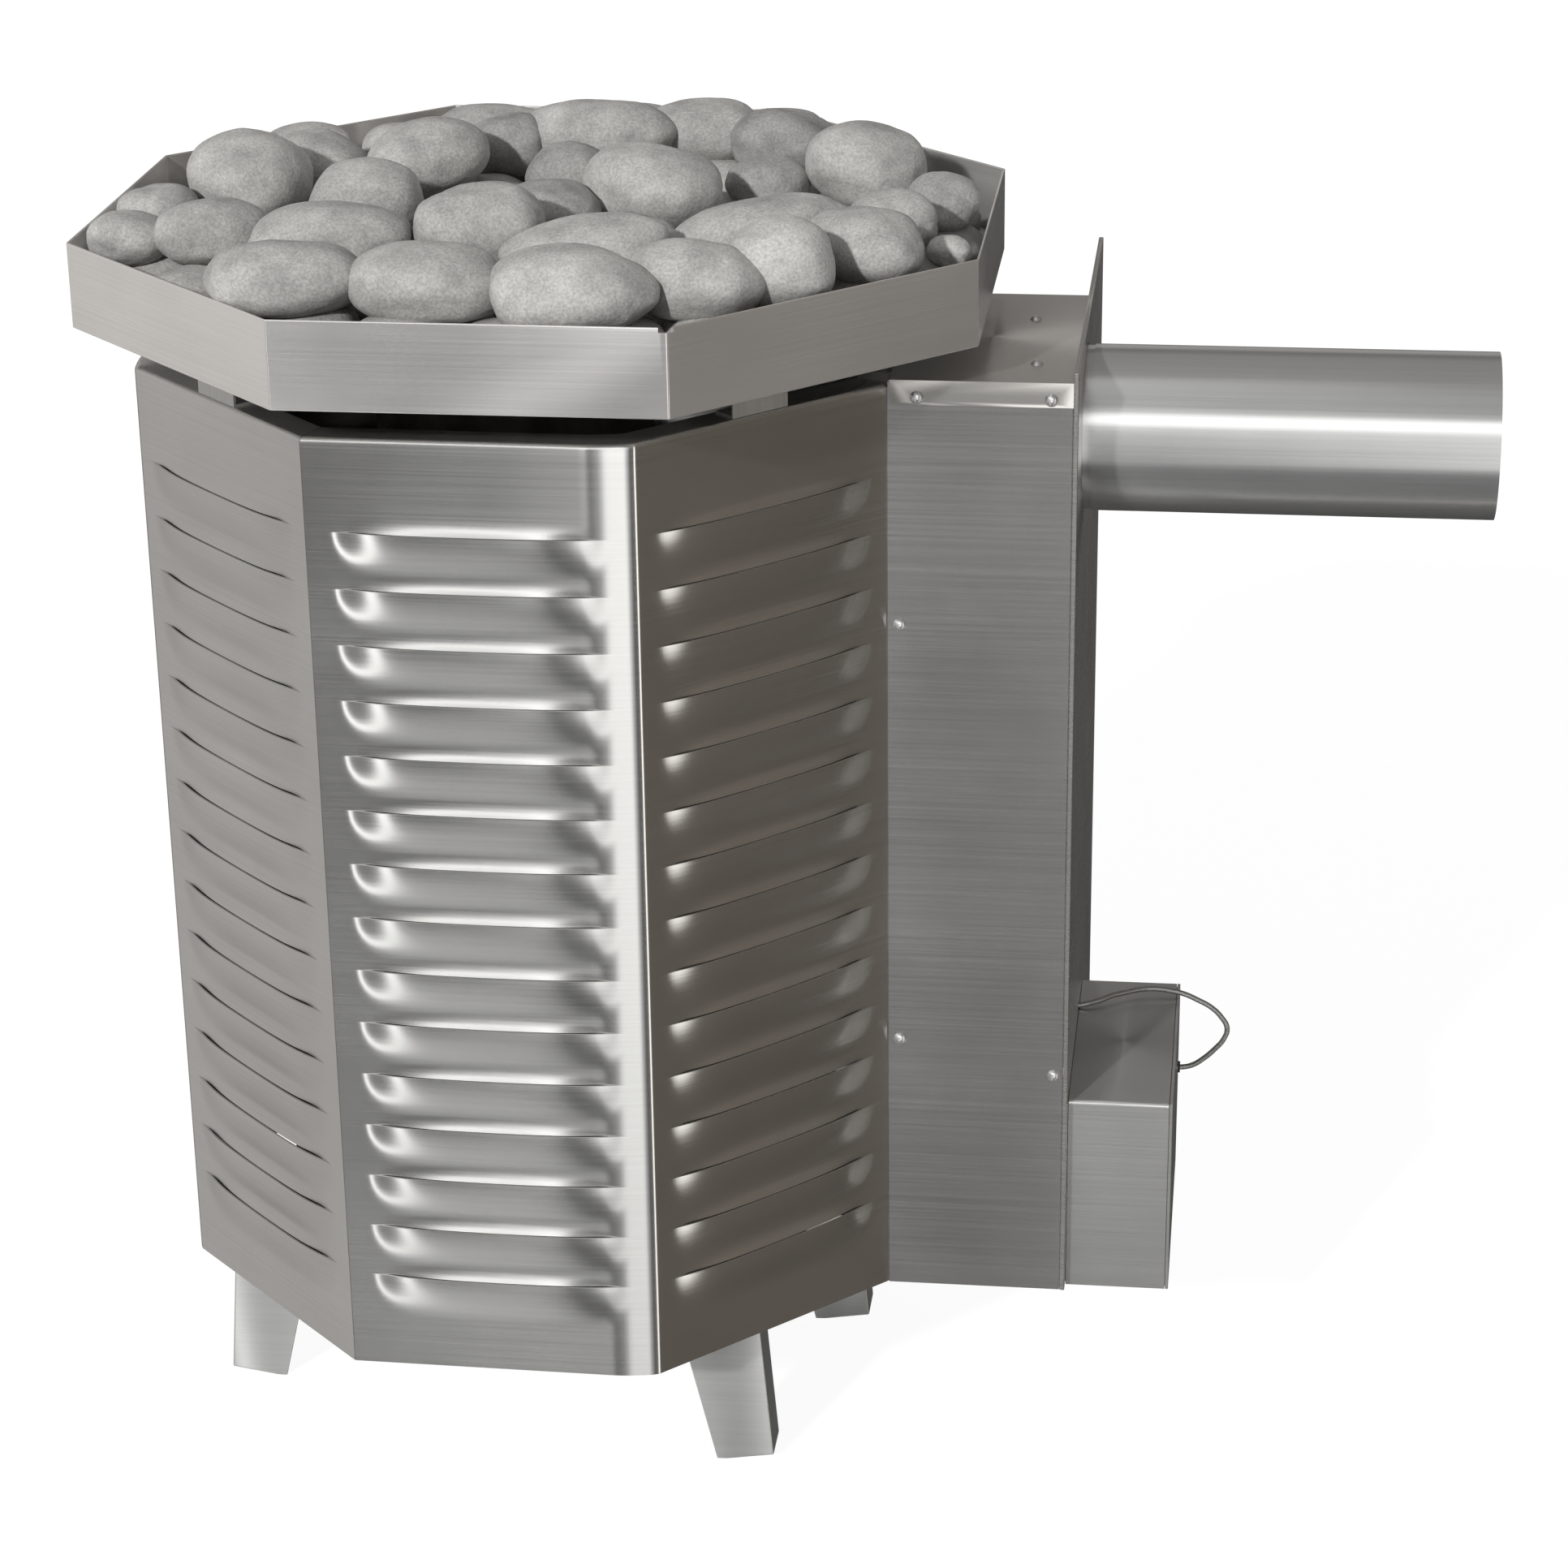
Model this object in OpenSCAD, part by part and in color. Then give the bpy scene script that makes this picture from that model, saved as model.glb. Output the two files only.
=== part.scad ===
// Gas sauna heater stove: an octagonal louvred jacket round a firebox, a tray of stones on top, and a neck
// that goes through the sauna wall to a vent pipe and a control box on the far side.
// X runs from the stove to the wall, Y runs away from the front, Z is up and the floor is at zero.

/* [Jacket] */
// Width of the jacket across the flats of its octagon
jacket_across = 457; // [440:1:480]
// Height of the jacket
jacket_h = 600; // [560:1:660]
// Height of the jacket's lower edge above the floor
floor_gap = 114; // [90:1:150]
// Thickness of the jacket and neck sheets
sheet_t = 1.2; // [0.8:0.1:2]
// Width of the lip folded inwards round the top of the jacket
jacket_lip = 20; // [12:1:26]
// Gap left at each seam between two jacket sheets
seam_gap = 0.6; // [0.3:0.1:1.2]
// Width of the strips behind the seams
strip_w = 22; // [14:1:30]

/* [Louvres] */
// Distance from one louvre to the next
louvre_pitch = 34.4; // [31:0.1:42]
// Height of one louvre, from its slit down to the flat sheet
louvre_h = 27; // [20:0.5:29]
// How far a louvre stands out at its slit
louvre_out = 5.5; // [5:0.5:12]
// Plain strip left at each side of a louvre
louvre_margin = 13; // [10:0.5:24]
// From the top of the jacket down to the first slit
louvre_top_band = 56; // [30:1:90]
// Least height kept below the last slit
louvre_bottom_band = 60; // [45:1:90]

/* [Base pan and legs] */
// Height of the pan above the jacket's lower edge
pan_rise = 8; // [4:1:16]
// Thickness of the pan
pan_t = 1.5; // [1:0.1:3]
// Height of the pan's turned-up rim
pan_rim = 14; // [8:1:25]
// Diameter of the air holes in the pan
pan_hole_d = 44; // [30:1:50]
// Radius at which the air holes lie
pan_hole_ring = 197; // [190:1:200]
// Width of a leg at the top
leg_top_w = 56; // [44:1:64]
// Width of a leg at the foot
leg_foot_w = 37; // [26:1:44]
// Outward lean of the legs in degrees
leg_splay = 9; // [2:1:12]
// Depth of a leg's side flange
leg_side = 28; // [20:1:32]
// Thickness of the leg plate
leg_t = 2; // [1.5:0.1:4]
// Width of the flat on which a leg stands
leg_flat = 8; // [5:0.5:14]
// Diameter of the leg bolts
leg_bolt_d = 6; // [5:0.5:8]

/* [Stone tray] */
// Width of the tray across its flats
tray_across = 540; // [500:1:580]
// Height of the tray rim
tray_h = 52; // [46:1:70]
// Clear height between the jacket and the tray
tray_gap = 28; // [18:1:45]
// Thickness of the tray sheet
tray_t = 1.5; // [1:0.1:3]
// How far the tray sits towards the wall from the jacket's axis
tray_shift = 12; // [0:1:16]
// Length of the open notch at the tray's corner seam
tray_notch = 9; // [4:1:14]
// Height of the bars that carry the grate
bearer_h = 8; // [5:0.5:12]
// Width of those bars
bearer_w = 22; // [14:1:30]
// Thickness of the perforated grate
grate_t = 2; // [1.5:0.1:4]
// Diameter of the grate's holes
grate_hole_d = 20; // [12:1:26]
// Distance between the grate's holes
grate_pitch = 44; // [38:1:60]
// Width of a tray stand
stand_w = 40; // [25:1:60]
// Radial depth of a tray stand
stand_deep = 16; // [10:1:19]

/* [Stones] */
// Half thickness of the bed stones
bed_half_t = 17; // [14:0.5:19]
// How far the top stones sink in between the bed stones
stone_sink = 9; // [9:0.5:12]
// Clearance between one stone and the next
stone_gap = 0.4; // [0.3:0.05:0.6]

/* [Neck through the wall] */
// Distance from the jacket to the wall plate
neck_len = 108.5; // [80:0.5:180]
// How far the neck stands out beyond the jacket's face at each side
neck_over = 2.4; // [1.8:0.1:5]
// How far the neck's cover stands above the jacket
neck_rise = 3; // [2:0.5:8]
// Depth of the lip folded down from the cover
neck_lip = 15; // [11:1:25]
// Width of the flanges of the neck panels
neck_flange = 12; // [9:1:18]
// Width of the window in the jacket behind the neck
window_w = 150; // [130:1:160]
// Height of the sill under that window, from the jacket's lower edge
window_sill = 30; // [22:1:45]

/* [Wall plate] */
// Thickness of the wall plate
plate_t = 3; // [2:0.5:5]
// How far the plate reaches behind the neck
plate_back = 125; // [90:1:160]
// How far the plate stands above the neck
plate_top = 6; // [2:1:20]
// How far the plate stands out in front of the neck
plate_front = 1; // [0:0.5:6]
// Diameter of the wall screw holes
plate_hole_d = 6.4; // [5:0.1:9]
// Distance between the two columns of wall screw holes
plate_hole_span_y = 64; // [40:1:90]
// Distance between the top and bottom wall screw holes
plate_hole_span_z = 490; // [400:1:520]

/* [Vent pipe] */
// Outside diameter of the vent pipe
vent_d = 101.6; // [90:0.1:106]
// Wall of the vent pipe
vent_wall = 1; // [0.8:0.1:2]
// Height left between the pipe and the top of the jacket
vent_top_gap = 2.2; // [1.8:0.1:8]
// Length of pipe outside the wall plate
vent_out = 248; // [150:1:400]

/* [Firebox] */
// Width of the firebox
firebox_w = 260; // [240:1:264]
// Depth of the firebox
firebox_d = 200; // [190:1:202]
// Height left between the firebox and the underside of the vent pipe
flue_throat = 11; // [8:1:40]
// Wall of the firebox
firebox_t = 1.6; // [1.2:0.1:2.5]
// Height of the firebox feet
firebox_foot_h = 36; // [32:1:44]
// Size of one firebox foot
firebox_foot_w = 24; // [16:1:30]
// Distance from the axis to the outer flats of the heat shield
shield_a = 166; // [165:1:172]
// Thickness of the heat shield
shield_t = 0.8; // [0.6:0.1:1.5]
// Length of the flue collar
collar_len = 34; // [20:1:40]
// Width of the band that hangs the vent pipe
strap_w = 14; // [10:1:20]

/* [Burner] */
// Height of the burner tubes above the pan
burner_lift = 68; // [66:1:69]
// Outside diameter of a burner tube
burner_d = 28; // [22:1:30]
// Distance between the burner tubes
burner_pitch = 62; // [56:1:64]
// Wall of a burner tube
burner_wall = 1.2; // [1:0.1:1.6]
// Outside diameter of the gas manifold
manifold_d = 22; // [19:0.5:24]
// Outside diameter of the feed pipe
feed_d = 16; // [13:0.5:17]
// Diameter of the pilot, thermocouple and spark lines
line_d = 3.6; // [3:0.1:4]

/* [Control box] */
// How far the box stands out from the wall plate
box_out = 66; // [60:1:90]
// Width of the box along the wall
box_w = 180; // [170:1:186]
// Height of the box
box_h = 132; // [126:1:150]
// Diameter of the gas knob
knob_d = 30; // [24:1:34]
// Thickness of the gas knob
knob_t = 16; // [12:1:18]
// Travel of the gas knob when it is pushed
knob_push = 4; // [2:0.5:4.5]
// Diameter of the igniter button
button_d = 12; // [9:0.5:13]
// Travel of the igniter button
button_push = 6; // [3:0.5:6.5]
// Outside diameter of the gas inlet socket
inlet_d = 27; // [25:0.5:32]
// Diameter of the threaded bore in that socket
inlet_bore_d = 18.2; // [15:0.1:20]
// Length of the inlet socket outside the box
inlet_out = 26; // [24:1:40]

/* [Sensor lead] */
// Diameter of the lead
lead_d = 3.5; // [2.5:0.1:3.9]

/* [Hidden] */
$fn = 64;

// How far a cut runs past what it cuts
overrun = 1;
// Room between pieces that move apart or come off
clear = 0.3;
// Room round a shaft or stem in its bore
slip = 0.05;
// Room between pieces that lie close and stay put
snug = 0.1;

// Jacket
faces = 8;
face_turn = 360 / faces;
corner_turn = face_turn / 2;
first_seam = -5 * corner_turn;
jacket_a = jacket_across / 2;
jacket_in = jacket_a - sheet_t;
jacket_z0 = floor_gap;
jacket_z1 = floor_gap + jacket_h;
face_w = 2 * jacket_a * tan(corner_turn);

// Louvres: each is part of a rounded bar whose middle lies behind the face, level with the slit. Its ends
// slope in as far as the louvre is high at the slit, and draw in by a share of that height lower down
louvre_r = (louvre_h * louvre_h + louvre_out * louvre_out) / (2 * louvre_out);
louvre_half = face_w / 2 - louvre_margin;
louvre_end_share = 0.8;
louvre_end_lean = atan(louvre_out / louvre_h);
louvre_end_tilt = atan(louvre_end_share * sin(louvre_end_lean));
louvre_count = floor((jacket_h - louvre_top_band - louvre_bottom_band) / louvre_pitch) + 1;

// Base pan and legs
pan_z0 = jacket_z0 + pan_rise;
pan_z1 = pan_z0 + pan_t;
pan_hole_turns = [-135, -105, -75, -15, 45, 75, 105, 165];
// Direction of each leg, its distance as a share of the jacket's half width, and the way it leans
leg_shares = [[-45, 0.85, 1], [15, 0.82, 1], [135, 0.85, -1], [-163, 0.93, -1]];
leg_lean = tan(leg_splay);
leg_top_x = -leg_lean * pan_z0;
leg_bolt_off = 12;
leg_bolt_in = 16;
bolt_head_r = 5.5;
bolt_head_h = 4;
bolt_tail = 7;
nut_h = 5;

// Stone tray
tray_a = tray_across / 2;
tray_in = tray_a - tray_t;
tray_z0 = jacket_z1 + tray_gap;
tray_z1 = tray_z0 + tray_h;
tray_hole_a = jacket_a - jacket_lip - tray_shift;
tray_notch_h = 3;
bearer_share = 0.45;
bearer_rest = 30;
bearer_z0 = tray_z0 + tray_t;
grate_z0 = bearer_z0 + bearer_h;
grate_z1 = grate_z0 + grate_t;
grate_a = tray_in - 2 * tray_t;
grate_edge = 6;
grate_reach = grate_a - grate_edge - grate_hole_d / 2;
stand_t = 1.5;
stand_inset = 2;

// Stones: the bed lies in rings, and each top stone is a row of shares of the tray's inner half width:
// where it lies in X and Y, its half length, half width and half height, and its turn in degrees
bed_rings = 4;
bed_half_w = (tray_in - stone_gap) / (2 * bed_rings + 1) - stone_gap;
bed_pitch = 2 * bed_half_w + stone_gap;
bed_z1 = grate_z1 + 2 * bed_half_t;
bed_stones = [
    for (ring = [0 : bed_rings], count = max(1, floor(2 * PI * ring)), i = [0 : count - 1])
        ring * bed_pitch * [cos(360 * i / count), sin(360 * i / count)]];
front_shares = [
    [-0.42, -0.78, 0.165, 0.125, 0.085, -4],
    [-0.12, -0.79, 0.16, 0.12, 0.085, 0],
    [0.2, -0.85, 0.165, 0.115, 0.09, 0],
    [0.44, -0.73, 0.135, 0.11, 0.085, 0],
    [0.6, -0.63, 0.11, 0.11, 0.1, 0],
    [0.76, -0.44, 0.125, 0.1, 0.085, -25],
    [-0.08, -0.41, 0.135, 0.12, 0.1, 15],
    [0.17, -0.52, 0.17, 0.12, 0.08, 14],
    [-0.4, -0.47, 0.165, 0.12, 0.085, 6],
    [-0.69, -0.36, 0.12, 0.1, 0.075, 20],
    [-0.87, -0.38, 0.085, 0.075, 0.06, 0]];
middle_shares = [
    [0.52, -0.33, 0.2, 0.11, 0.08, 18],
    [-0.69, 0.03, 0.135, 0.125, 0.105, 60],
    [0.24, 0, 0.15, 0.125, 0.1, -10],
    [-0.4, -0.1, 0.12, 0.115, 0.09, 10],
    [0.02, -0.12, 0.11, 0.1, 0.07, 0],
    [-0.87, -0.14, 0.085, 0.09, 0.06, 0],
    [0.8, -0.19, 0.09, 0.08, 0.075, 0],
    [0.89, 0.02, 0.08, 0.09, 0.07, 0],
    [0.47, 0.24, 0.09, 0.09, 0.06, 0]];
back_shares = [
    [-0.33, 0.26, 0.14, 0.115, 0.095, 35],
    [0.02, 0.56, 0.18, 0.13, 0.09, 0],
    [0.7, 0.27, 0.13, 0.13, 0.095, -30],
    [-0.6, 0.28, 0.11, 0.11, 0.075, 0],
    [0.48, 0.5, 0.12, 0.12, 0.085, 0],
    [0, 0.26, 0.09, 0.1, 0.07, 0],
    [0.27, 0.64, 0.14, 0.11, 0.08, 0],
    [-0.18, 0.5, 0.09, 0.09, 0.075, 0],
    [-0.67, 0.5, 0.1, 0.09, 0.06, 0],
    [-0.46, 0.56, 0.09, 0.08, 0.055, 0],
    [0.7, 0.52, 0.09, 0.09, 0.055, 0],
    [-0.28, 0.81, 0.13, 0.1, 0.05, 0],
    [0.06, 0.84, 0.13, 0.1, 0.05, 0],
    [0.4, 0.82, 0.12, 0.1, 0.05, 0]];
top_shares = concat(front_shares, middle_shares, back_shares);

// Neck and wall plate
neck_out_y = face_w / 2 + neck_over;
neck_in_y = neck_out_y - sheet_t;
neck_x0 = sqrt(2) * jacket_a - neck_in_y + snug;
plate_x0 = jacket_a + neck_len;
plate_x1 = plate_x0 + plate_t;
neck_z1 = jacket_z1 + neck_rise - sheet_t;
neck_top = neck_z1 + sheet_t;
lip_y = neck_out_y + sheet_t;
plate_y0 = -neck_out_y - plate_front;
plate_y1 = neck_out_y + plate_back;
plate_z1 = neck_top + plate_top;
plate_hole_edge = 17.5;
plate_hole_y = plate_y1 - plate_hole_edge - plate_hole_span_y / 2;
plate_hole_z = jacket_z0 + jacket_h / 2;
port_w = 120;
port_sill = 16;
port_over = 8;

// Screws: dome heads of one size, and their places up the neck's panels and along its cover as shares
head_r = 4;
head_h = 2.4;
dome_r = (head_r * head_r + head_h * head_h) / (2 * head_h);
shank_r = 1.8;
shank_len = 5;
side_screw_shares = [0.29, 0.75];
edge_screw_share = 0.254;
lip_screw_shares = [0.15, 0.88];
lip_drop_share = 0.7;
top_screw_shares = [[0.72, 0.42], [0.78, -0.6]];

// Vent pipe
vent_r = vent_d / 2;
// Inside the neck the pipe is drawn in, and its full size starts a little way out from the wall plate
vent_draw = 0.8;
vent_shoulder = 5;
vent_neck_r = vent_r - vent_draw;
vent_step_x = plate_x1 + vent_shoulder;
vent_z = jacket_z1 - vent_top_gap - vent_r;
vent_x1 = plate_x1 + vent_out;
vent_hole_gap = 0.7;
collar_r = vent_neck_r - vent_wall - snug;
strap_tab = 10;
// The frame's origin lies below the middle of the whole stove
middle_x = (tray_shift - tray_a + vent_x1) / 2;

// Firebox
firebox_z0 = pan_z1 + firebox_foot_h;
firebox_z1 = vent_z - vent_r - flue_throat;
firebox_h = firebox_z1 - firebox_z0;
foot_t = 3;
hood_w = 170;
hood_d = 150;
hood_ledge = 12;
hood_x1 = hood_w / 2;
hood_z1 = vent_z + vent_r + firebox_t;
// Height of each baffle as a share of the firebox, and the side where its gap is
baffle_shares = [[0.5, 1], [0.75, -1]];
baffle_gap = 50;
shield_in = shield_a - shield_t;
shield_port_w = 110;
shield_port_over = 15;
pad_size = 20;
firebox_corner = (firebox_w + firebox_d) / 2 / sqrt(2);
pad_off = (firebox_w - firebox_d) / 2 / sqrt(2);

// Burner
burner_z = pan_z1 + burner_lift;
burner_r = burner_d / 2;
burner_places = [-burner_pitch, 0, burner_pitch];
manifold_wall = 2;
manifold_gap = 4;
manifold_end = 7;
manifold_r = manifold_d / 2;
manifold_x = shield_in - manifold_gap - manifold_r;
manifold_l = 2 * (burner_pitch + manifold_end);
feed_r = feed_d / 2;
orifice_hex_r = 5.5;
orifice_hex_l = 5;
orifice_tip_l = 3;
orifice_tip_r = 2.5;
orifice_shank_r = 3;
orifice_shank_l = 2.5;
orifice_bore_r = 0.8;
mouth_x = manifold_x - manifold_r - orifice_hex_l - orifice_tip_l;
burner_end_gap = 16;
burner_x0 = firebox_t + burner_end_gap - firebox_w / 2;
burner_l = mouth_x - burner_x0;
port_r = 2;
port_pitch = 14;
port_inset = 14;
port_far_inset = 40;
rack_t = 1.6;
rack_margin = 12;
rack_y = burner_pitch + burner_r + rack_margin;
rack_inset = 30;
rack_rail = 12;

// Pilot: three devices side by side between two burner tubes
pilot_rise = 16.5;
pilot_z = burner_z + burner_r + pilot_rise;
pilot_pitch = 10;
pilot_y = -burner_pitch / 2;
tube_y = pilot_y + pilot_pitch;
couple_y = pilot_y;
spark_y = pilot_y - pilot_pitch;
wall_x = firebox_w / 2;
pilot_plate_t = 1.5;
pilot_plate_w = 36;
pilot_plate_h = 20;
pilot_x = wall_x - firebox_t - pilot_plate_t;
line_r = line_d / 2;
stem_wall = 0.2;
stem_r = line_r + stem_wall;
stem_out = 6;
stem_x = wall_x + stem_out;
flame_r = 4.5;
flame_l = 15;
couple_r = 1.9;
couple_l = 27;
couple_collar_r = 3.2;
couple_collar_l = 3;
spark_r = 3;
spark_l = 11;
spark_wire_r = 0.8;
spark_wire_l = 21;

// Control box
box_x1 = plate_x1 + box_out;
box_y = box_w / 2;
box_z0 = jacket_z0;
box_z1 = box_z0 + box_h;
end_t = 2;
end_x = box_x1 - end_t;
box_flange = 10;
box_slots = 4;
box_slot_w = 4;
box_slot_l = 40;
box_slot_pitch = 12;
box_slot_y = 20;
clip_w = 12;
clip_t = 3;
clip_h = 16;

// Controls
line_drop = 7;
valve_gap = 8;
valve_w = 48;
valve_l = 90;
valve_h = 65;
valve_x0 = plate_x1 + valve_gap;
valve_x = valve_x0 + valve_w / 2;
valve_y = valve_l / 2;
valve_z1 = pilot_z - line_drop;
valve_z0 = valve_z1 - valve_h;
valve_z = valve_z0 + valve_h / 2;
tube_drop_x = valve_x0 + 0.2 * valve_w;
couple_drop_x = valve_x0 + 0.4 * valve_w;
bonnet_r = 10;
bonnet_l = 7;
bonnet_y = -valve_y - bonnet_l;
spindle_r = 4;
spindle_in = 22;
spindle_bore = 30;
boss_r = 12;
boss_l = 5;
feed_seat = 8;
panel_t = 1.5;
panel_y0 = -valve_y - panel_t;
panel_foot = 20;
panel_margin = 3;
panel_top_gap = 5;
ring_l = 4.7;
ring_r = 9;
ring_y0 = bonnet_y - clear - ring_l;
knob_gap = 5;
knob_y1 = ring_y0 - knob_gap;
knob_y0 = knob_y1 - knob_t;
knob_socket = 10;
knob_flutes = 12;
flute_r = 1.6;
igniter_wall = 2;
igniter_r = button_d / 2 + igniter_wall;
igniter_rim = 2.5;
igniter_rim_l = 2.3;
igniter_front = 21.5;
igniter_y0 = panel_y0 - igniter_front;
igniter_y1 = panel_y0 + sheet_t;
button_room = 1;
button_head_l = 3;
button_head_rim = 1.5;
button_stem = 8;
button_bore = button_push + button_stem + button_room;
button_head_y = igniter_y0 - button_push - button_room;
nipple_r = 10;
nipple_bore_r = 6;
inlet_thread_l = 20;
inlet_y1 = box_y + inlet_out;

// Sensor lead: its route from the wall plate's outer face, over the box and into the box's end plate
lead_r = lead_d / 2;
lead_route = [
    [-18, 46, 248], [-9, 46, 248], [0, 46, 248], [6, 47, 249], [14, 51, 250], [22, 57, 251], [31, 63, 251],
    [40, 68, 251], [50, 70, 251], [60, 70, 250], [69, 70, 248], [78, 70, 244], [87, 70, 239], [94, 70, 232],
    [98, 70, 224], [96, 70, 216], [90, 70, 208], [83, 70, 201], [76, 70, 196], [69, 70, 194], [64, 70, 194]];
lead_sides = 8;
plate_lead_y = 46;
plate_lead_z = 248;
end_lead_y = 70;
end_lead_z = 194;
grommet_wall = 1.7;
grommet_rim = 0.4;
grommet_rim_l = 1.5;
bulb_r = 4;
bulb_l = 60;
bulb_x1 = plate_x1 + lead_route[0].x;
clip_sheet = 1.2;
clip_in = 5;
clip_len = 57;
clip_up = 8;
clip_tab = 15;
finger_l = 6;
finger_y = 9;
switch_w = 17;
switch_deep = 19;

module placed() {
    translate([-middle_x, 0, 0]) children();
}

// Octagon with flats across X and Y
module octagon(apothem) {
    rotate(corner_turn) circle(r = apothem / cos(corner_turn), $fn = faces);
}

module octagon_ring(outer, inner) {
    difference() {
        octagon(outer);
        octagon(inner);
    }
}

module block(x0, x1, y0, y1, z0, z1) {
    translate([x0, y0, z0]) cube([x1 - x0, y1 - y0, z1 - z0]);
}

// Rod along X, or along Y, from one end to the other
module rod_x(x0, x1, y, z, r) {
    translate([x0, y, z]) rotate([0, 90, 0]) cylinder(r = r, h = x1 - x0);
}

module rod_y(x, y0, y1, z, r) {
    translate([x, y1, z]) rotate([90, 0, 0]) cylinder(r = r, h = y1 - y0);
}

// Jacket

module jacket_shell() {
    translate([0, 0, jacket_z0]) linear_extrude(jacket_h) octagon_ring(jacket_a, jacket_in);
    translate([0, 0, jacket_z1 - sheet_t])
        linear_extrude(sheet_t) octagon_ring(jacket_a, jacket_a - jacket_lip);
}

// Everything behind the sloping plane that ends a louvre
module behind_end(inset) {
    translate([0, louvre_half, 0]) rotate([0, louvre_end_tilt, louvre_end_lean])
        translate([-face_w - inset, -face_w, -face_w]) cube([face_w, 2 * face_w, 2 * face_w]);
}

module louvre_bar(inset, back) {
    intersection() {
        translate([louvre_out - louvre_r, 0, 0]) rotate([90, 0, 180])
            cylinder(r = louvre_r - inset, h = face_w, center = true, $fn = 96);
        block(-back, louvre_out + overrun, -face_w / 2, face_w / 2, -2 * louvre_h, 0);
        behind_end(inset);
        mirror([0, 1, 0]) behind_end(inset);
    }
}

module louvre_rows(turn, inset, back) {
    rotate(turn)
        for (row = [0 : louvre_count - 1])
            translate([jacket_a, 0, jacket_z1 - louvre_top_band - row * louvre_pitch]) 
                louvre_bar(inset, back);
}

// One folded sheet of two faces, from a seam to the next one
module jacket_sheet(seam, louvred) {
    difference() {
        union() {
            intersection() {
                jacket_shell();
                rotate(seam) translate([seam_gap / 2, seam_gap / 2, 0])
                    cube([2 * jacket_a, 2 * jacket_a, 2 * jacket_z1]);
            }
            for (turn = louvred) louvre_rows(turn, 0, sheet_t);
        }
        for (turn = louvred) louvre_rows(turn, sheet_t, 3 * sheet_t);
    }
}

module jacket_front() {
    color("#a8a6a2") placed() jacket_sheet(first_seam, [-2 * face_turn, -face_turn]);
}

module jacket_neck_side() {
    color("#9c9a96") placed() difference() {
        jacket_sheet(first_seam + 2 * face_turn, [face_turn]);
        block(jacket_in - overrun, jacket_a + overrun, -window_w / 2, window_w / 2,
            jacket_z0 + window_sill, jacket_z1 - sheet_t);
    }
}

module jacket_back() {
    color("#a09e9a") placed() jacket_sheet(first_seam + 4 * face_turn, [2 * face_turn, 3 * face_turn]);
}

module jacket_left() {
    color("#a4a29e") placed() jacket_sheet(first_seam + 6 * face_turn, [4 * face_turn, 5 * face_turn]);
}

module seam_strips() {
    strip_z0 = pan_z0 + pan_rim + snug;
    color("#8c8a86") placed() intersection() {
        translate([0, 0, strip_z0])
            linear_extrude(jacket_z1 - sheet_t - strip_z0) octagon_ring(jacket_in, jacket_in - sheet_t);
        for (seam = [0 : 3])
            rotate(first_seam + 2 * seam * face_turn)
                block(0, 2 * jacket_a, -strip_w, strip_w, 0, 2 * jacket_z1);
    }
}

// Base pan and legs

module at_legs() {
    for (place = leg_shares)
        rotate(place[0]) translate([place[1] * jacket_a, 0, 0]) rotate(-place[0])
            mirror([place[2] < 0 ? 1 : 0, 0, 0]) children();
}

module at_leg_bolts() {
    at_legs()
        for (side = [-1, 1])
            translate([leg_top_x + side * leg_bolt_off, leg_bolt_in, 0]) children();
}

module base_pan() {
    color("#8f8d89") placed() difference() {
        union() {
            translate([0, 0, pan_z0]) linear_extrude(pan_t) octagon(jacket_in);
            translate([0, 0, pan_z0]) linear_extrude(pan_rim) octagon_ring(jacket_in, jacket_in - pan_t);
        }
        for (turn = pan_hole_turns)
            rotate(turn) translate([pan_hole_ring, 0, pan_z0 - overrun])
                cylinder(d = pan_hole_d, h = pan_t + 2 * overrun);
        at_leg_bolts() translate([0, 0, pan_z0 - overrun])
            cylinder(d = leg_bolt_d + clear, h = pan_t + 2 * overrun);
    }
}

// Outline of a leg seen from the front, leaning out to +X: its square end is ground flat at the inner corner.
// What lies behind its plate, beside its flange and below its top is a pocket
leg_toe_z = leg_lean * (leg_foot_w - leg_flat);
leg_outline = [
    [-leg_foot_w / 2, 0],
    [leg_flat - leg_foot_w / 2, 0],
    [leg_foot_w / 2, leg_toe_z],
    [leg_top_x + leg_top_w / 2, pan_z0],
    [leg_top_x - leg_top_w / 2, pan_z0]];
function flange_x(z) = leg_foot_w / 2 - leg_t
    + (leg_top_x + (leg_top_w - leg_foot_w) / 2) * (z - leg_toe_z) / (pan_z0 - leg_toe_z);
leg_pocket = [
    [-leg_top_w, -overrun],
    [flange_x(-overrun), -overrun],
    [flange_x(pan_z0 - leg_t), pan_z0 - leg_t],
    [-leg_top_w, pan_z0 - leg_t]];

module leg_slab(y0, y1, outline) {
    translate([0, y1, 0]) rotate([90, 0, 0]) linear_extrude(y1 - y0) polygon(outline);
}

module legs() {
    color("#9a9894") placed() difference() {
        at_legs() difference() {
            leg_slab(0, leg_side, leg_outline);
            leg_slab(leg_t, leg_side + overrun, leg_pocket);
        }
        at_leg_bolts() translate([0, 0, pan_z0 - leg_t - overrun])
            cylinder(d = leg_bolt_d + clear, h = leg_t + 2 * overrun);
    }
}

module leg_bolts() {
    color("#707070") placed() at_leg_bolts() {
        translate([0, 0, pan_z1]) cylinder(r = bolt_head_r, h = bolt_head_h, $fn = 6);
        translate([0, 0, pan_z0 - leg_t - bolt_tail])
            cylinder(d = leg_bolt_d, h = pan_t + leg_t + bolt_tail);
        translate([0, 0, pan_z0 - leg_t - nut_h]) cylinder(r = bolt_head_r, h = nut_h, $fn = 6);
    }
}

// Stone tray

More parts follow.
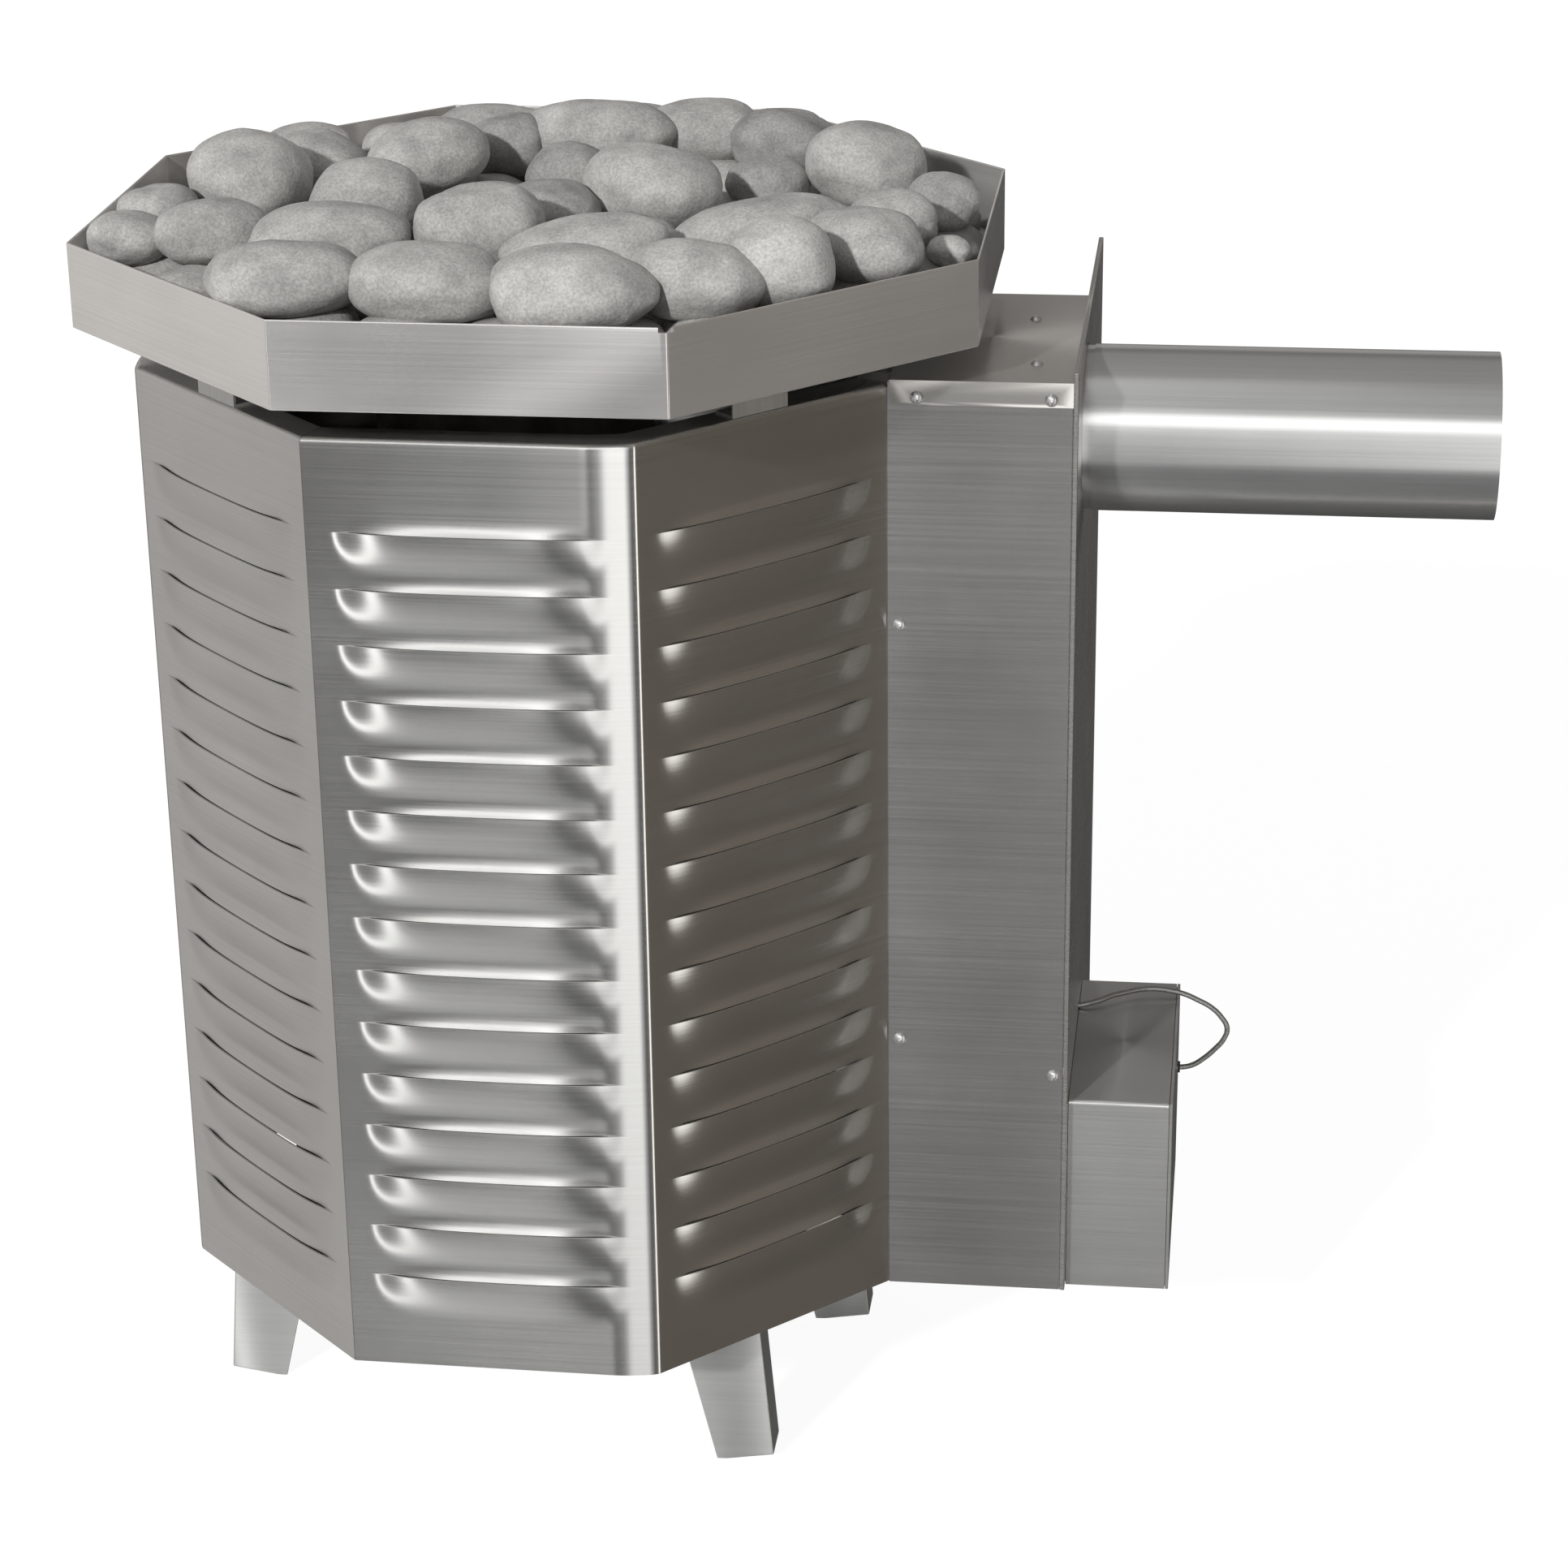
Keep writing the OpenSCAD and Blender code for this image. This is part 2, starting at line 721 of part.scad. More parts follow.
module tray_stands() {
    x1 = jacket_a - stand_inset;
    color("#8f8d89") placed()
        for (side = [1 : 2 : faces - 1]) rotate(side * face_turn) {
            block(x1 - stand_deep, x1, -stand_w / 2, stand_w / 2, jacket_z1, jacket_z1 + stand_t);
            block(x1 - stand_t, x1, -stand_w / 2, stand_w / 2, jacket_z1, tray_z0);
            block(x1 - stand_deep, x1, -stand_w / 2, stand_w / 2, tray_z0 - stand_t, tray_z0);
        }
}

module tray_rim() {
    corner_r = tray_a / cos(corner_turn);
    color("#b0aeaa") placed() translate([tray_shift, 0, 0]) difference() {
        union() {
            translate([0, 0, tray_z0]) linear_extrude(tray_h) octagon_ring(tray_a, tray_in);
            translate([0, 0, tray_z0]) linear_extrude(tray_t) octagon_ring(tray_a, tray_hole_a);
        }
        rotate(-3 * corner_turn)
            block(corner_r - 2 * tray_notch, corner_r + overrun, -tray_notch / 2, tray_notch / 2,
                tray_z1 - tray_notch_h, tray_z1 + overrun);
    }
}

module tray_bearers() {
    half_l = tray_hole_a + bearer_rest;
    color("#7c7a76") placed() translate([tray_shift, 0, 0])
        for (side = [-1, 1]) translate([side * bearer_share * tray_hole_a, 0, 0])
            block(-bearer_w / 2, bearer_w / 2, -half_l, half_l, bearer_z0, grate_z0);
}

module tray_grate() {
    last = floor(grate_reach / grate_pitch);
    color("#85837f") placed() translate([tray_shift, 0, grate_z0]) linear_extrude(grate_t) difference() {
        octagon(grate_a);
        for (i = [-last : last], j = [-last : last])
            if ((abs(i) + abs(j)) * grate_pitch / sqrt(2) < grate_reach)
                translate([i, j] * grate_pitch) circle(d = grate_hole_d);
    }
}

// Stones: each ball is turned so that the seam of its surface stays clear of the cuts, below on the bed
// stones and above on the top ones

module bed_stone(place, grow) {
    translate([place[0], place[1], grate_z1 + bed_half_t])
        scale([bed_half_w + grow, bed_half_w + grow, bed_half_t + grow]) rotate([0, 90, 90]) sphere(r = 1);
}

module top_stone(stone, grow) {
    half = tray_in * [stone[2], stone[3], stone[4]];
    translate([stone[0] * tray_in, stone[1] * tray_in, bed_z1 - stone_sink + half[2]]) rotate(stone[5])
        scale([half[0] + grow, half[1] + grow, half[2] + grow]) rotate([0, -90, 90]) sphere(r = 1);
}

// Whether two stones lie close enough in plan to meet
function meets(x, y, reach, place, other) = norm([x - place[0], y - place[1]]) < reach + other;

// Top stones of one table, each cut back where it would run into the bed or an earlier stone
module top_stones(first, count) {
    translate([tray_shift, 0, 0])
        for (i = [first : first + count - 1])
            let (stone = top_shares[i], x = stone[0] * tray_in, y = stone[1] * tray_in,
                reach = stone[2] * tray_in)
                difference() {
                    top_stone(stone, 0);
                    for (place = bed_stones)
                        if (meets(x, y, reach, place, 0.5 * bed_half_w)) bed_stone(place, stone_gap);
                    for (j = [0 : 1 : i - 1])
                        if (meets(x, y, reach, top_shares[j] * tray_in, top_shares[j][2] * tray_in))
                            top_stone(top_shares[j], stone_gap);
                }
}

module stones_bed() {
    color("#84827f") placed() translate([tray_shift, 0, 0])
        for (place = bed_stones) bed_stone(place, 0);
}

module stones_front() {
    color("#a3a19d") placed() top_stones(0, len(front_shares));
}

module stones_middle() {
    color("#9b9995") placed() top_stones(len(front_shares), len(middle_shares));
}

module stones_back() {
    color("#93918d") placed() top_stones(len(front_shares) + len(middle_shares), len(back_shares));
}

// Neck

module both_sides() {
    children();
    mirror([0, 1, 0]) children();
}

module screw() {
    intersection() {
        translate([0, 0, head_h - dome_r]) sphere(r = dome_r);
        cylinder(r = 2 * head_r, h = 2 * head_h);
    }
    translate([0, 0, -shank_len]) cylinder(r = shank_r, h = shank_len);
}

// Places of the screws: up the neck's panels, along the cover's lips, and on the cover
module at_side_screws() {
    both_sides()
        for (share = side_screw_shares)
            translate([jacket_a + neck_flange / 2, -neck_out_y, jacket_z0 + share * jacket_h])
                rotate([90, 0, 0]) children();
}

module at_edge_screw() {
    translate([plate_x0 - neck_flange / 2, -neck_out_y, jacket_z0 + edge_screw_share * jacket_h])
        rotate([90, 0, 0]) children();
}

module at_lip_screws() {
    both_sides()
        for (share = lip_screw_shares)
            translate([jacket_a + share * neck_len, -lip_y, neck_top - lip_drop_share * neck_lip])
                rotate([90, 0, 0]) children();
}

module at_top_screws() {
    for (share = top_screw_shares)
        translate([jacket_a + share[0] * neck_len, share[1] * neck_out_y, neck_top]) children();
}

module at_neck_screws() {
    at_side_screws() children();
    at_edge_screw() children();
    at_lip_screws() children();
    at_top_screws() children();
}

module screw_holes() {
    at_neck_screws() translate([0, 0, -2 * shank_len])
        cylinder(r = shank_r + slip, h = 2 * shank_len + overrun);
}

module neck_frame() {
    color("#84827e") placed() difference() {
        both_sides() {
            block(jacket_a, jacket_a + sheet_t, -neck_in_y, neck_flange - neck_in_y,
                jacket_z0 + sheet_t, neck_z1);
            block(jacket_a, jacket_a + neck_flange, -neck_in_y, sheet_t - neck_in_y,
                jacket_z0 + sheet_t, neck_z1);
        }
        screw_holes();
    }
}

module neck_panel() {
    block(neck_x0, plate_x0, -neck_out_y, -neck_in_y, jacket_z0, neck_z1);
    block(plate_x0 - sheet_t, plate_x0, -neck_out_y, neck_flange - neck_in_y, jacket_z0, neck_z1);
}

module neck_front() {
    color("#8a8a8a") placed() difference() {
        neck_panel();
        screw_holes();
    }
}

module neck_back() {
    color("#8a8a8a") placed() difference() {
        mirror([0, 1, 0]) neck_panel();
        screw_holes();
    }
}

module neck_cover() {
    color("#aaa8a2") placed() difference() {
        union() {
            block(jacket_a, plate_x0, -lip_y, lip_y, neck_z1, neck_top);
            both_sides() block(jacket_a, plate_x0, -lip_y, -neck_out_y, neck_top - neck_lip, neck_top);
        }
        screw_holes();
    }
}

module neck_floor() {
    color("#84827e") placed()
        block(jacket_a, plate_x0 - sheet_t, -neck_in_y, neck_in_y, jacket_z0, jacket_z0 + sheet_t);
}

module neck_screws() {
    color("#c8c8c8") placed() at_neck_screws() screw();
}

module wall_plate() {
    color("#9c9c9c") placed() difference() {
        block(plate_x0, plate_x1, plate_y0, plate_y1, jacket_z0, plate_z1);
        rod_x(plate_x0 - overrun, plate_x1 + overrun, 0, vent_z, vent_r + vent_hole_gap);
        block(plate_x0 - overrun, plate_x1 + overrun, -port_w / 2, port_w / 2,
            jacket_z0 + port_sill, pilot_z + port_over);
        rod_x(plate_x0 - overrun, plate_x1 + overrun, plate_lead_y, plate_lead_z,
            lead_r + grommet_wall + slip);
        for (i = [-1, 1], j = [-1, 1])
            rod_x(plate_x0 - overrun, plate_x1 + overrun, plate_hole_y + i * plate_hole_span_y / 2,
                plate_hole_z + j * plate_hole_span_z / 2, plate_hole_d / 2);
    }
}

// Vent

module vent_pipe() {
    color("#b4b4b4") placed() difference() {
        union() {
            rod_x(hood_x1 + clear, vent_x1, 0, vent_z, vent_neck_r);
            rod_x(vent_step_x, vent_x1, 0, vent_z, vent_r);
        }
        rod_x(hood_x1 - overrun, vent_x1, 0, vent_z, vent_neck_r - vent_wall);
        rod_x(vent_step_x + vent_wall, vent_x1 + overrun, 0, vent_z, vent_r - vent_wall);
    }
}

module flue_strap() {
    x0 = (jacket_a + plate_x0 - strap_w) / 2;
    color("#84827e") placed() difference() {
        union() {
            rod_x(x0, x0 + strap_w, 0, vent_z, vent_neck_r + snug + sheet_t);
            block(x0, x0 + strap_w, -strap_tab / 2, strap_tab / 2, vent_z + vent_neck_r + snug, neck_z1);
        }
        rod_x(x0 - overrun, x0 + strap_w + overrun, 0, vent_z, vent_neck_r + snug);
    }
}

// Firebox

module firebox() {
    half_w = firebox_w / 2;
    half_d = firebox_d / 2;
    hole_w = hood_w / 2 - hood_ledge;
    hole_d = hood_d / 2 - hood_ledge;
    color("#5c5a58") placed() difference() {
        block(-half_w, half_w, -half_d, half_d, firebox_z0, firebox_z1);
        block(firebox_t - half_w, half_w - firebox_t, firebox_t - half_d, half_d - firebox_t,
            firebox_z0 - overrun, firebox_z1 - firebox_t);
        block(-hole_w, hole_w, -hole_d, hole_d, firebox_z1 - 2 * firebox_t, firebox_z1 + overrun);
        for (y = burner_places)
            rod_x(half_w - 2 * firebox_t, half_w + overrun, y, burner_z, burner_r + clear);
        for (y = [tube_y, couple_y, spark_y])
            rod_x(half_w - 2 * firebox_t, half_w + overrun, y, pilot_z, stem_r + slip);
    }
}

module firebox_feet() {
    half_w = firebox_w / 2;
    half_d = firebox_d / 2;
    color("#6a6866") placed()
        for (i = [-1, 1], j = [-1, 1]) mirror([i < 0 ? 1 : 0, 0, 0]) mirror([0, j < 0 ? 1 : 0, 0]) {
            block(half_w - firebox_foot_w, half_w, half_d - foot_t, half_d, pan_z1, firebox_z0);
            block(half_w - foot_t, half_w, half_d - firebox_foot_w, half_d, pan_z1, firebox_z0);
        }
}

module flue_hood() {
    half_d = hood_d / 2;
    collar_x1 = hood_x1 + collar_len;
    color("#605e5c") placed() difference() {
        union() {
            block(-hood_x1, hood_x1, -half_d, half_d, firebox_z1, hood_z1);
            rod_x(hood_x1 - firebox_t, collar_x1, 0, vent_z, collar_r);
        }
        block(firebox_t - hood_x1, hood_x1 - firebox_t, firebox_t - half_d, half_d - firebox_t,
            firebox_z1 - overrun, hood_z1 - firebox_t);
        rod_x(hood_x1 - 2 * firebox_t, collar_x1 + overrun, 0, vent_z, collar_r - firebox_t);
    }
}

module baffles() {
    half_w = firebox_w / 2 - firebox_t - snug;
    half_d = firebox_d / 2 - firebox_t - snug;
    color("#4c4a48") placed()
        for (share = baffle_shares) translate([0, 0, firebox_z0 + share[0] * firebox_h])
            mirror([share[1] < 0 ? 1 : 0, 0, 0])
                block(-half_w, half_w - baffle_gap, -half_d, half_d, 0, firebox_t);
}

module heat_shield() {
    color("#b0aea8") placed() difference() {
        union() {
            translate([0, 0, firebox_z0]) linear_extrude(firebox_h) octagon_ring(shield_a, shield_in);
            for (flip = [0, 1], z = [firebox_z0, firebox_z1 - pad_size]) mirror([flip, 0, 0]) both_sides()
                rotate(face_turn)
                    block(firebox_corner + snug, shield_in + shield_t / 2, -pad_off - pad_size / 2,
                        pad_size / 2 - pad_off, z, z + pad_size);
        }
        block(0, shield_a + overrun, -shield_port_w / 2, shield_port_w / 2,
            firebox_z0 - overrun, pilot_z + shield_port_over);
    }
}

// Burner

module burner_tubes() {
    color("#787674") placed()
        for (y = burner_places) difference() {
            rod_x(burner_x0, mouth_x, y, burner_z, burner_r);
            rod_x(burner_x0 + burner_wall, mouth_x + overrun, y, burner_z, burner_r - burner_wall);
            for (x = [burner_x0 + port_inset : port_pitch : mouth_x - port_far_inset])
                translate([x, y, burner_z]) cylinder(r = port_r, h = burner_r + overrun);
        }
}

module burner_rack() {
    color("#6a6866") placed() difference() {
        union() {
            for (x = [rack_inset - wall_x, wall_x - rack_inset])
                block(x, x + rack_t, -rack_y, rack_y, pan_z1, burner_z);
            both_sides()
                block(rack_inset - wall_x, wall_x - rack_inset, -rack_y, rack_rail - rack_y,
                    pan_z1, pan_z1 + rack_t);
        }
        for (y = burner_places) rod_x(-wall_x, wall_x, y, burner_z, burner_r + snug);
    }
}

module gas_manifold() {
    color("#8a8782") placed() difference() {
        rod_y(manifold_x, -manifold_l / 2, manifold_l / 2, burner_z, manifold_r);
        rod_y(manifold_x, manifold_wall - manifold_l / 2, manifold_l / 2 - manifold_wall, burner_z,
            manifold_r - manifold_wall);
        for (y = burner_places)
            rod_x(manifold_x - manifold_r - overrun, manifold_x, y, burner_z, orifice_shank_r + slip);
        rod_x(manifold_x, manifold_x + manifold_r + overrun, 0, burner_z, feed_r + slip);
    }
}

module gas_orifices() {
    seat_x = manifold_x - manifold_r;
    color("#b5903c") placed()
        for (y = burner_places) translate([seat_x, y, burner_z]) rotate([0, -90, 0]) difference() {
            union() {
                translate([0, 0, -orifice_shank_l]) cylinder(r = orifice_shank_r, h = orifice_shank_l);
                cylinder(r = orifice_hex_r, h = orifice_hex_l, $fn = 6);
                translate([0, 0, orifice_hex_l]) cylinder(r = orifice_tip_r, h = orifice_tip_l);
            }
            translate([0, 0, -orifice_shank_l - overrun])
                cylinder(r = orifice_bore_r,
                    h = orifice_shank_l + orifice_hex_l + orifice_tip_l + 2 * overrun);
        }
}

module feed_pipe() {
    x0 = manifold_x + 2 * manifold_r / 3;
    color("#8a8782") placed() difference() {
        rod_x(x0, valve_x0 + feed_seat, 0, burner_z, feed_r);
        rod_x(x0 - overrun, valve_x0 + feed_seat + overrun, 0, burner_z, feed_r - manifold_wall);
    }
}

// Pilot

module pilot_bracket() {
    color("#8a8782") placed() difference() {
        block(pilot_x, pilot_x + pilot_plate_t, pilot_y - pilot_plate_w / 2, pilot_y + pilot_plate_w / 2,
            pilot_z - pilot_plate_h / 2, pilot_z + pilot_plate_h / 2);
        for (y = [tube_y, couple_y, spark_y]) rod_x(pilot_x - overrun, wall_x, y, pilot_z, stem_r + slip);
    }
}

module pilot_burner() {
    color("#b5903c") placed() {
        rod_x(pilot_x, stem_x, tube_y, pilot_z, stem_r);
        rod_x(pilot_x - flame_l, pilot_x, tube_y, pilot_z, flame_r);
    }
}

module thermocouple() {
    color("#b87840") placed() {
        rod_x(pilot_x, stem_x, couple_y, pilot_z, stem_r);
        rod_x(pilot_x - couple_collar_l, pilot_x, couple_y, pilot_z, couple_collar_r);
        rod_x(pilot_x - couple_l, pilot_x - couple_collar_l, couple_y, pilot_z, couple_r);
    }
}

module spark_electrode() {
    color("#e8e4da") placed() {
        rod_x(pilot_x, stem_x, spark_y, pilot_z, stem_r);
        rod_x(pilot_x - spark_l, pilot_x, spark_y, pilot_z, spark_r);
        rod_x(pilot_x - spark_wire_l, pilot_x - spark_l, spark_y, pilot_z, spark_wire_r);
    }
}

// A line that runs along X, then turns down onto the valve
module line_to_valve(y, x1) {
    rod_x(stem_x, x1, y, pilot_z, line_r);
    translate([x1, y, pilot_z]) sphere(r = line_r);
    translate([x1, y, valve_z1]) cylinder(r = line_r, h = line_drop);
}

module pilot_tube() {
    color("#b8b4ac") placed() line_to_valve(tube_y, tube_drop_x);
}

module thermocouple_lead() {
    color("#b87840") placed() line_to_valve(couple_y, couple_drop_x);
}

module ignition_wire() {
    color("#c04030") placed() {
        rod_x(stem_x, valve_x, spark_y, pilot_z, line_r);
        translate([valve_x, spark_y, pilot_z]) sphere(r = line_r);
        rod_y(valve_x, igniter_y1, spark_y, pilot_z, line_r);
    }
}

// Controls in the box

module gas_valve() {
    color("#9a9690") placed() difference() {
        union() {
            block(valve_x0, valve_x0 + valve_w, -valve_y, valve_y, valve_z0, valve_z1);
            rod_y(valve_x, bonnet_y, -valve_y, valve_z, bonnet_r);
            rod_y(valve_x, valve_y, valve_y + boss_l, valve_z, boss_r);
        }
        rod_x(valve_x0 - overrun, valve_x0 + feed_seat, 0, burner_z, feed_r + slip);
        rod_y(valve_x, bonnet_y - overrun, bonnet_y + spindle_bore, valve_z, spindle_r + slip);
    }
}

module inlet_nipple() {
    color("#8a8782") placed() difference() {
        union() {
            rod_y(valve_x, valve_y + boss_l, inlet_y1, valve_z, nipple_r);
            rod_y(valve_x, box_y + overrun, inlet_y1, valve_z, inlet_d / 2);
        }
        rod_y(valve_x, valve_y + boss_l - overrun, inlet_y1, valve_z, nipple_bore_r);
        rod_y(valve_x, inlet_y1 - inlet_thread_l, inlet_y1 + overrun, valve_z, inlet_bore_d / 2);
    }
}

module valve_panel() {
    x0 = plate_x1 + panel_margin;
    x1 = end_x - panel_margin;
    floor_z = box_z0 + sheet_t;
    color("#84827e") placed() difference() {
        union() {
            block(x0, x1, panel_y0, -valve_y, floor_z, box_z1 - panel_top_gap);
            block(x0, x1, panel_y0, panel_y0 + panel_foot, floor_z, floor_z + panel_t);
        }
        rod_y(valve_x, panel_y0 - overrun, overrun - valve_y, valve_z, bonnet_r + slip);
        rod_y(valve_x, panel_y0 - overrun, overrun - valve_y, pilot_z, igniter_r + slip);
    }
}

module knob_detent_ring() {
    color("#b5903c") placed() difference() {
        rod_y(valve_x, ring_y0, ring_y0 + ring_l, valve_z, ring_r);
        rod_y(valve_x, ring_y0 - overrun, ring_y0 + ring_l + overrun, valve_z, spindle_r + slip);
    }
}

module gas_knob() {
    color("#202020") placed() difference() {
        rod_y(valve_x, knob_y0, knob_y1, valve_z, knob_d / 2);
        rod_y(valve_x, knob_y1 - knob_socket, knob_y1 + overrun, valve_z, spindle_r + slip);
        for (i = [0 : knob_flutes - 1])
            translate([valve_x, 0, valve_z]) rotate([0, i * 360 / knob_flutes, 0])
                rod_y(knob_d / 2, knob_y0 - overrun, knob_y1 + overrun, 0, flute_r);
    }
}

module knob_spindle() {
    color("#c8c8c8") placed()
        rod_y(valve_x, knob_y1 - knob_socket, bonnet_y + spindle_in, valve_z, spindle_r);
}

module igniter_body() {
    color("#303030") placed() difference() {
        union() {
            rod_y(valve_x, igniter_y0, igniter_y1, pilot_z, igniter_r);
            rod_y(valve_x, panel_y0 - igniter_rim_l, panel_y0, pilot_z, igniter_r + igniter_rim);
        }
        rod_y(valve_x, igniter_y0 - overrun, igniter_y0 + button_bore, pilot_z, button_d / 2 + slip);
    }
}

module igniter_button() {
    color("#b02020") placed() {
        rod_y(valve_x, button_head_y, igniter_y0 + button_stem, pilot_z, button_d / 2);
        rod_y(valve_x, button_head_y - button_head_l, button_head_y, pilot_z, button_d / 2 + button_head_rim);
    }
}

module limit_switch() {
    color("#404040") placed()
        block(end_x - switch_deep, end_x, end_lead_y - switch_w / 2, end_lead_y + switch_w / 2,
            end_lead_z - switch_w / 2, end_lead_z + switch_w / 2);
}

// Control box

module box_body() {
    y0 = clear + sheet_t - box_y;
    inner_y = box_y - sheet_t;
    floor_z = box_z0 + sheet_t;
    wall_z1 = box_z1 - sheet_t - clear;
    color("#8e8e8e") placed() difference() {
        union() {
            block(plate_x1, end_x, y0, box_y, box_z0, floor_z);
            block(plate_x1, end_x, inner_y, box_y, box_z0, wall_z1);
            for (x = [plate_x1, end_x - sheet_t]) {
                block(x, x + sheet_t, y0, box_y, box_z0, floor_z + box_flange);
                block(x, x + sheet_t, inner_y - box_flange, box_y, box_z0, wall_z1);
            }
            block(plate_x1, end_x, y0, y0 + sheet_t, box_z0, floor_z + box_flange);
        }
        rod_y(valve_x, inner_y - overrun, box_y + overrun, valve_z, nipple_r + clear);
        for (i = [0 : box_slots - 1])
            translate([valve_x + (i - (box_slots - 1) / 2) * box_slot_pitch, box_slot_y, 0])
                block(-box_slot_w / 2, box_slot_w / 2, -box_slot_l / 2, box_slot_l / 2,
                    box_z0 - overrun, floor_z + overrun);
    }
}

module box_end_plate() {
    color("#7c7c7c") placed() difference() {
        block(end_x, box_x1, -box_y, box_y, box_z0, box_z1);
        rod_x(end_x - overrun, box_x1 + overrun, end_lead_y, end_lead_z, lead_r + grommet_wall + slip);
    }
}

module box_cover() {
    x0 = plate_x1 + clear;
    x1 = end_x - clear;
    color("#9a9a9a") placed() {
        block(x0, x1, -box_y, sheet_t - box_y, box_z0, box_z1);
        block(x0, x1, -box_y, box_y, box_z1 - sheet_t, box_z1);
    }
}

module cover_clips() {
    y0 = clear + 2 * sheet_t - box_y;
    floor_z = box_z0 + sheet_t;
    color("#b0b0b0") placed()
        for (x = [plate_x1 + clip_w, end_x - 2 * clip_w])
            block(x, x + clip_w, y0, y0 + clip_t, floor_z, floor_z + clip_h);
}

// Sensor lead

function unit(v) = v / norm(v);
function lead_way(i) = unit(lead_route[min(i + 1, len(lead_route) - 1)] - lead_route[max(i - 1, 0)]);
// Ring of points round the route: side lies level across it, and the other way completes it
function lead_ring(i) =
    let (way = lead_way(i), side = unit(cross([0, 0, 1], abs(way.z) > 0.999 ? [1, 0, 0] : way)),
        over = cross(way, side))
        [for (k = [0 : lead_sides - 1])
            lead_route[i] + lead_r * (cos(360 * k / lead_sides) * side + sin(360 * k / lead_sides) * over)];

module sensor_lead() {
    last = len(lead_route) - 1;
    points = [for (i = [0 : last]) each lead_ring(i)];
    walls = [for (i = [0 : last - 1], k = [0 : lead_sides - 1])
        let (a = i * lead_sides + k, b = i * lead_sides + (k + 1) % lead_sides)
            each [[a, a + lead_sides, b], [b, a + lead_sides, b + lead_sides]]];
    ends = [for (k = [1 : lead_sides - 2])
        each [[0, k, k + 1], [last * lead_sides, last * lead_sides + k + 1, last * lead_sides + k]]];
    color("#505050") placed() translate([plate_x1, 0, 0]) polyhedron(points, concat(walls, ends));
}

module grommet(x0, x1, y, z, rim_x0, rim_x1) {
    bore_r = lead_r + slip;
    difference() {
        union() {
            rod_x(x0, x1, y, z, lead_r + grommet_wall);
            rod_x(rim_x0, rim_x1, y, z, lead_r + grommet_wall + grommet_rim);
        }
        rod_x(min(x0, rim_x0) - overrun, max(x1, rim_x1) + overrun, y, z, bore_r);
    }
}

module lead_grommets() {
    color("#181818") placed() {
        grommet(plate_x0, plate_x1, plate_lead_y, plate_lead_z, plate_x0 - grommet_rim_l, plate_x0);
        grommet(end_x, box_x1, end_lead_y, end_lead_z, box_x1, box_x1 + grommet_rim_l);
    }
}

module sensor_bulb() {
    color("#b87840") placed() rod_x(bulb_x1 - bulb_l, bulb_x1, plate_lead_y, plate_lead_z, bulb_r);
}

module bulb_clip() {
    y0 = plate_lead_y + bulb_r + snug;
    z0 = plate_lead_z - clip_up;
    z1 = plate_lead_z + clip_up;
    x0 = plate_x0 - clip_len;
    finger_z = bulb_r + snug;
    color("#8e8e8e") placed() {
        block(x0, plate_x0, y0, y0 + clip_sheet, z0, z1);
        block(plate_x0 - clip_sheet, plate_x0, y0, y0 + clip_tab, z0, z1);
        for (side = [-1, 1]) translate([x0 + clip_in, 0, plate_lead_z + side * (finger_z + clip_sheet / 2)])
            block(0, finger_l, y0 - finger_y, y0 + clip_sheet, -clip_sheet / 2, clip_sheet / 2);
    }
}

jacket_front();
jacket_left();
jacket_back();
jacket_neck_side();
seam_strips();
base_pan();
legs();
leg_bolts();
tray_stands();
tray_rim();
tray_bearers();
tray_grate();
stones_bed();
stones_front();
stones_middle();
stones_back();
neck_frame();
neck_front();
neck_back();
neck_cover();
neck_floor();
neck_screws();
flue_strap();
wall_plate();
vent_pipe();
firebox();
firebox_feet();
flue_hood();
baffles();
heat_shield();
burner_rack();
burner_tubes();
gas_manifold();
gas_orifices();
feed_pipe();
pilot_bracket();
pilot_burner();
thermocouple();
spark_electrode();
pilot_tube();
thermocouple_lead();
ignition_wire();
gas_valve();
inlet_nipple();
valve_panel();
knob_detent_ring();
gas_knob();
knob_spindle();
igniter_body();
igniter_button();
limit_switch();
box_body();
box_end_plate();
box_cover();
cover_clips();
sensor_lead();
lead_grommets();
sensor_bulb();
bulb_clip();
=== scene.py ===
"""Gas sauna heater stove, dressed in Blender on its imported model.

Metres. +X runs from the stove to the wall, +Y away from the front, +Z up, and the floor is at zero.
The stove's own axis stands 165 mm from the origin, on the side away from the wall.
"""
import math

import bmesh
import bpy
from mathutils import Matrix, Vector, noise


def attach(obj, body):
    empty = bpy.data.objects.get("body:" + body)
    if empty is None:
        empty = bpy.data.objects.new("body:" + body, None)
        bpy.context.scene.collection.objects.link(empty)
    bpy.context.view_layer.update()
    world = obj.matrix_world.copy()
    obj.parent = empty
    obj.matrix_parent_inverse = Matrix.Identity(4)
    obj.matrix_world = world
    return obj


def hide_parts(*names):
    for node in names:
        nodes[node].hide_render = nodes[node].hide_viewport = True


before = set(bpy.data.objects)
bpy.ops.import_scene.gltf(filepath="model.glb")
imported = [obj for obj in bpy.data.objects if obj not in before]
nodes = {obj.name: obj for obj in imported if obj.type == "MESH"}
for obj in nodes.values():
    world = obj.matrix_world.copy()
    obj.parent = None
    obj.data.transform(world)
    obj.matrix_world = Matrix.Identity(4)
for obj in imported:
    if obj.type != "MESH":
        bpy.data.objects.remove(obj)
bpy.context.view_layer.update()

# Camera: a longish lens at standing height, a little to the right of the front face, which is how the
# photograph was taken. It leans by less than a degree.
eye = Vector((0.2754, -2.3289, 1.3752))
aim = Vector((-0.0139, 0.0, 0.418))
lean = math.radians(-0.75)
ahead = (aim - eye).normalized()
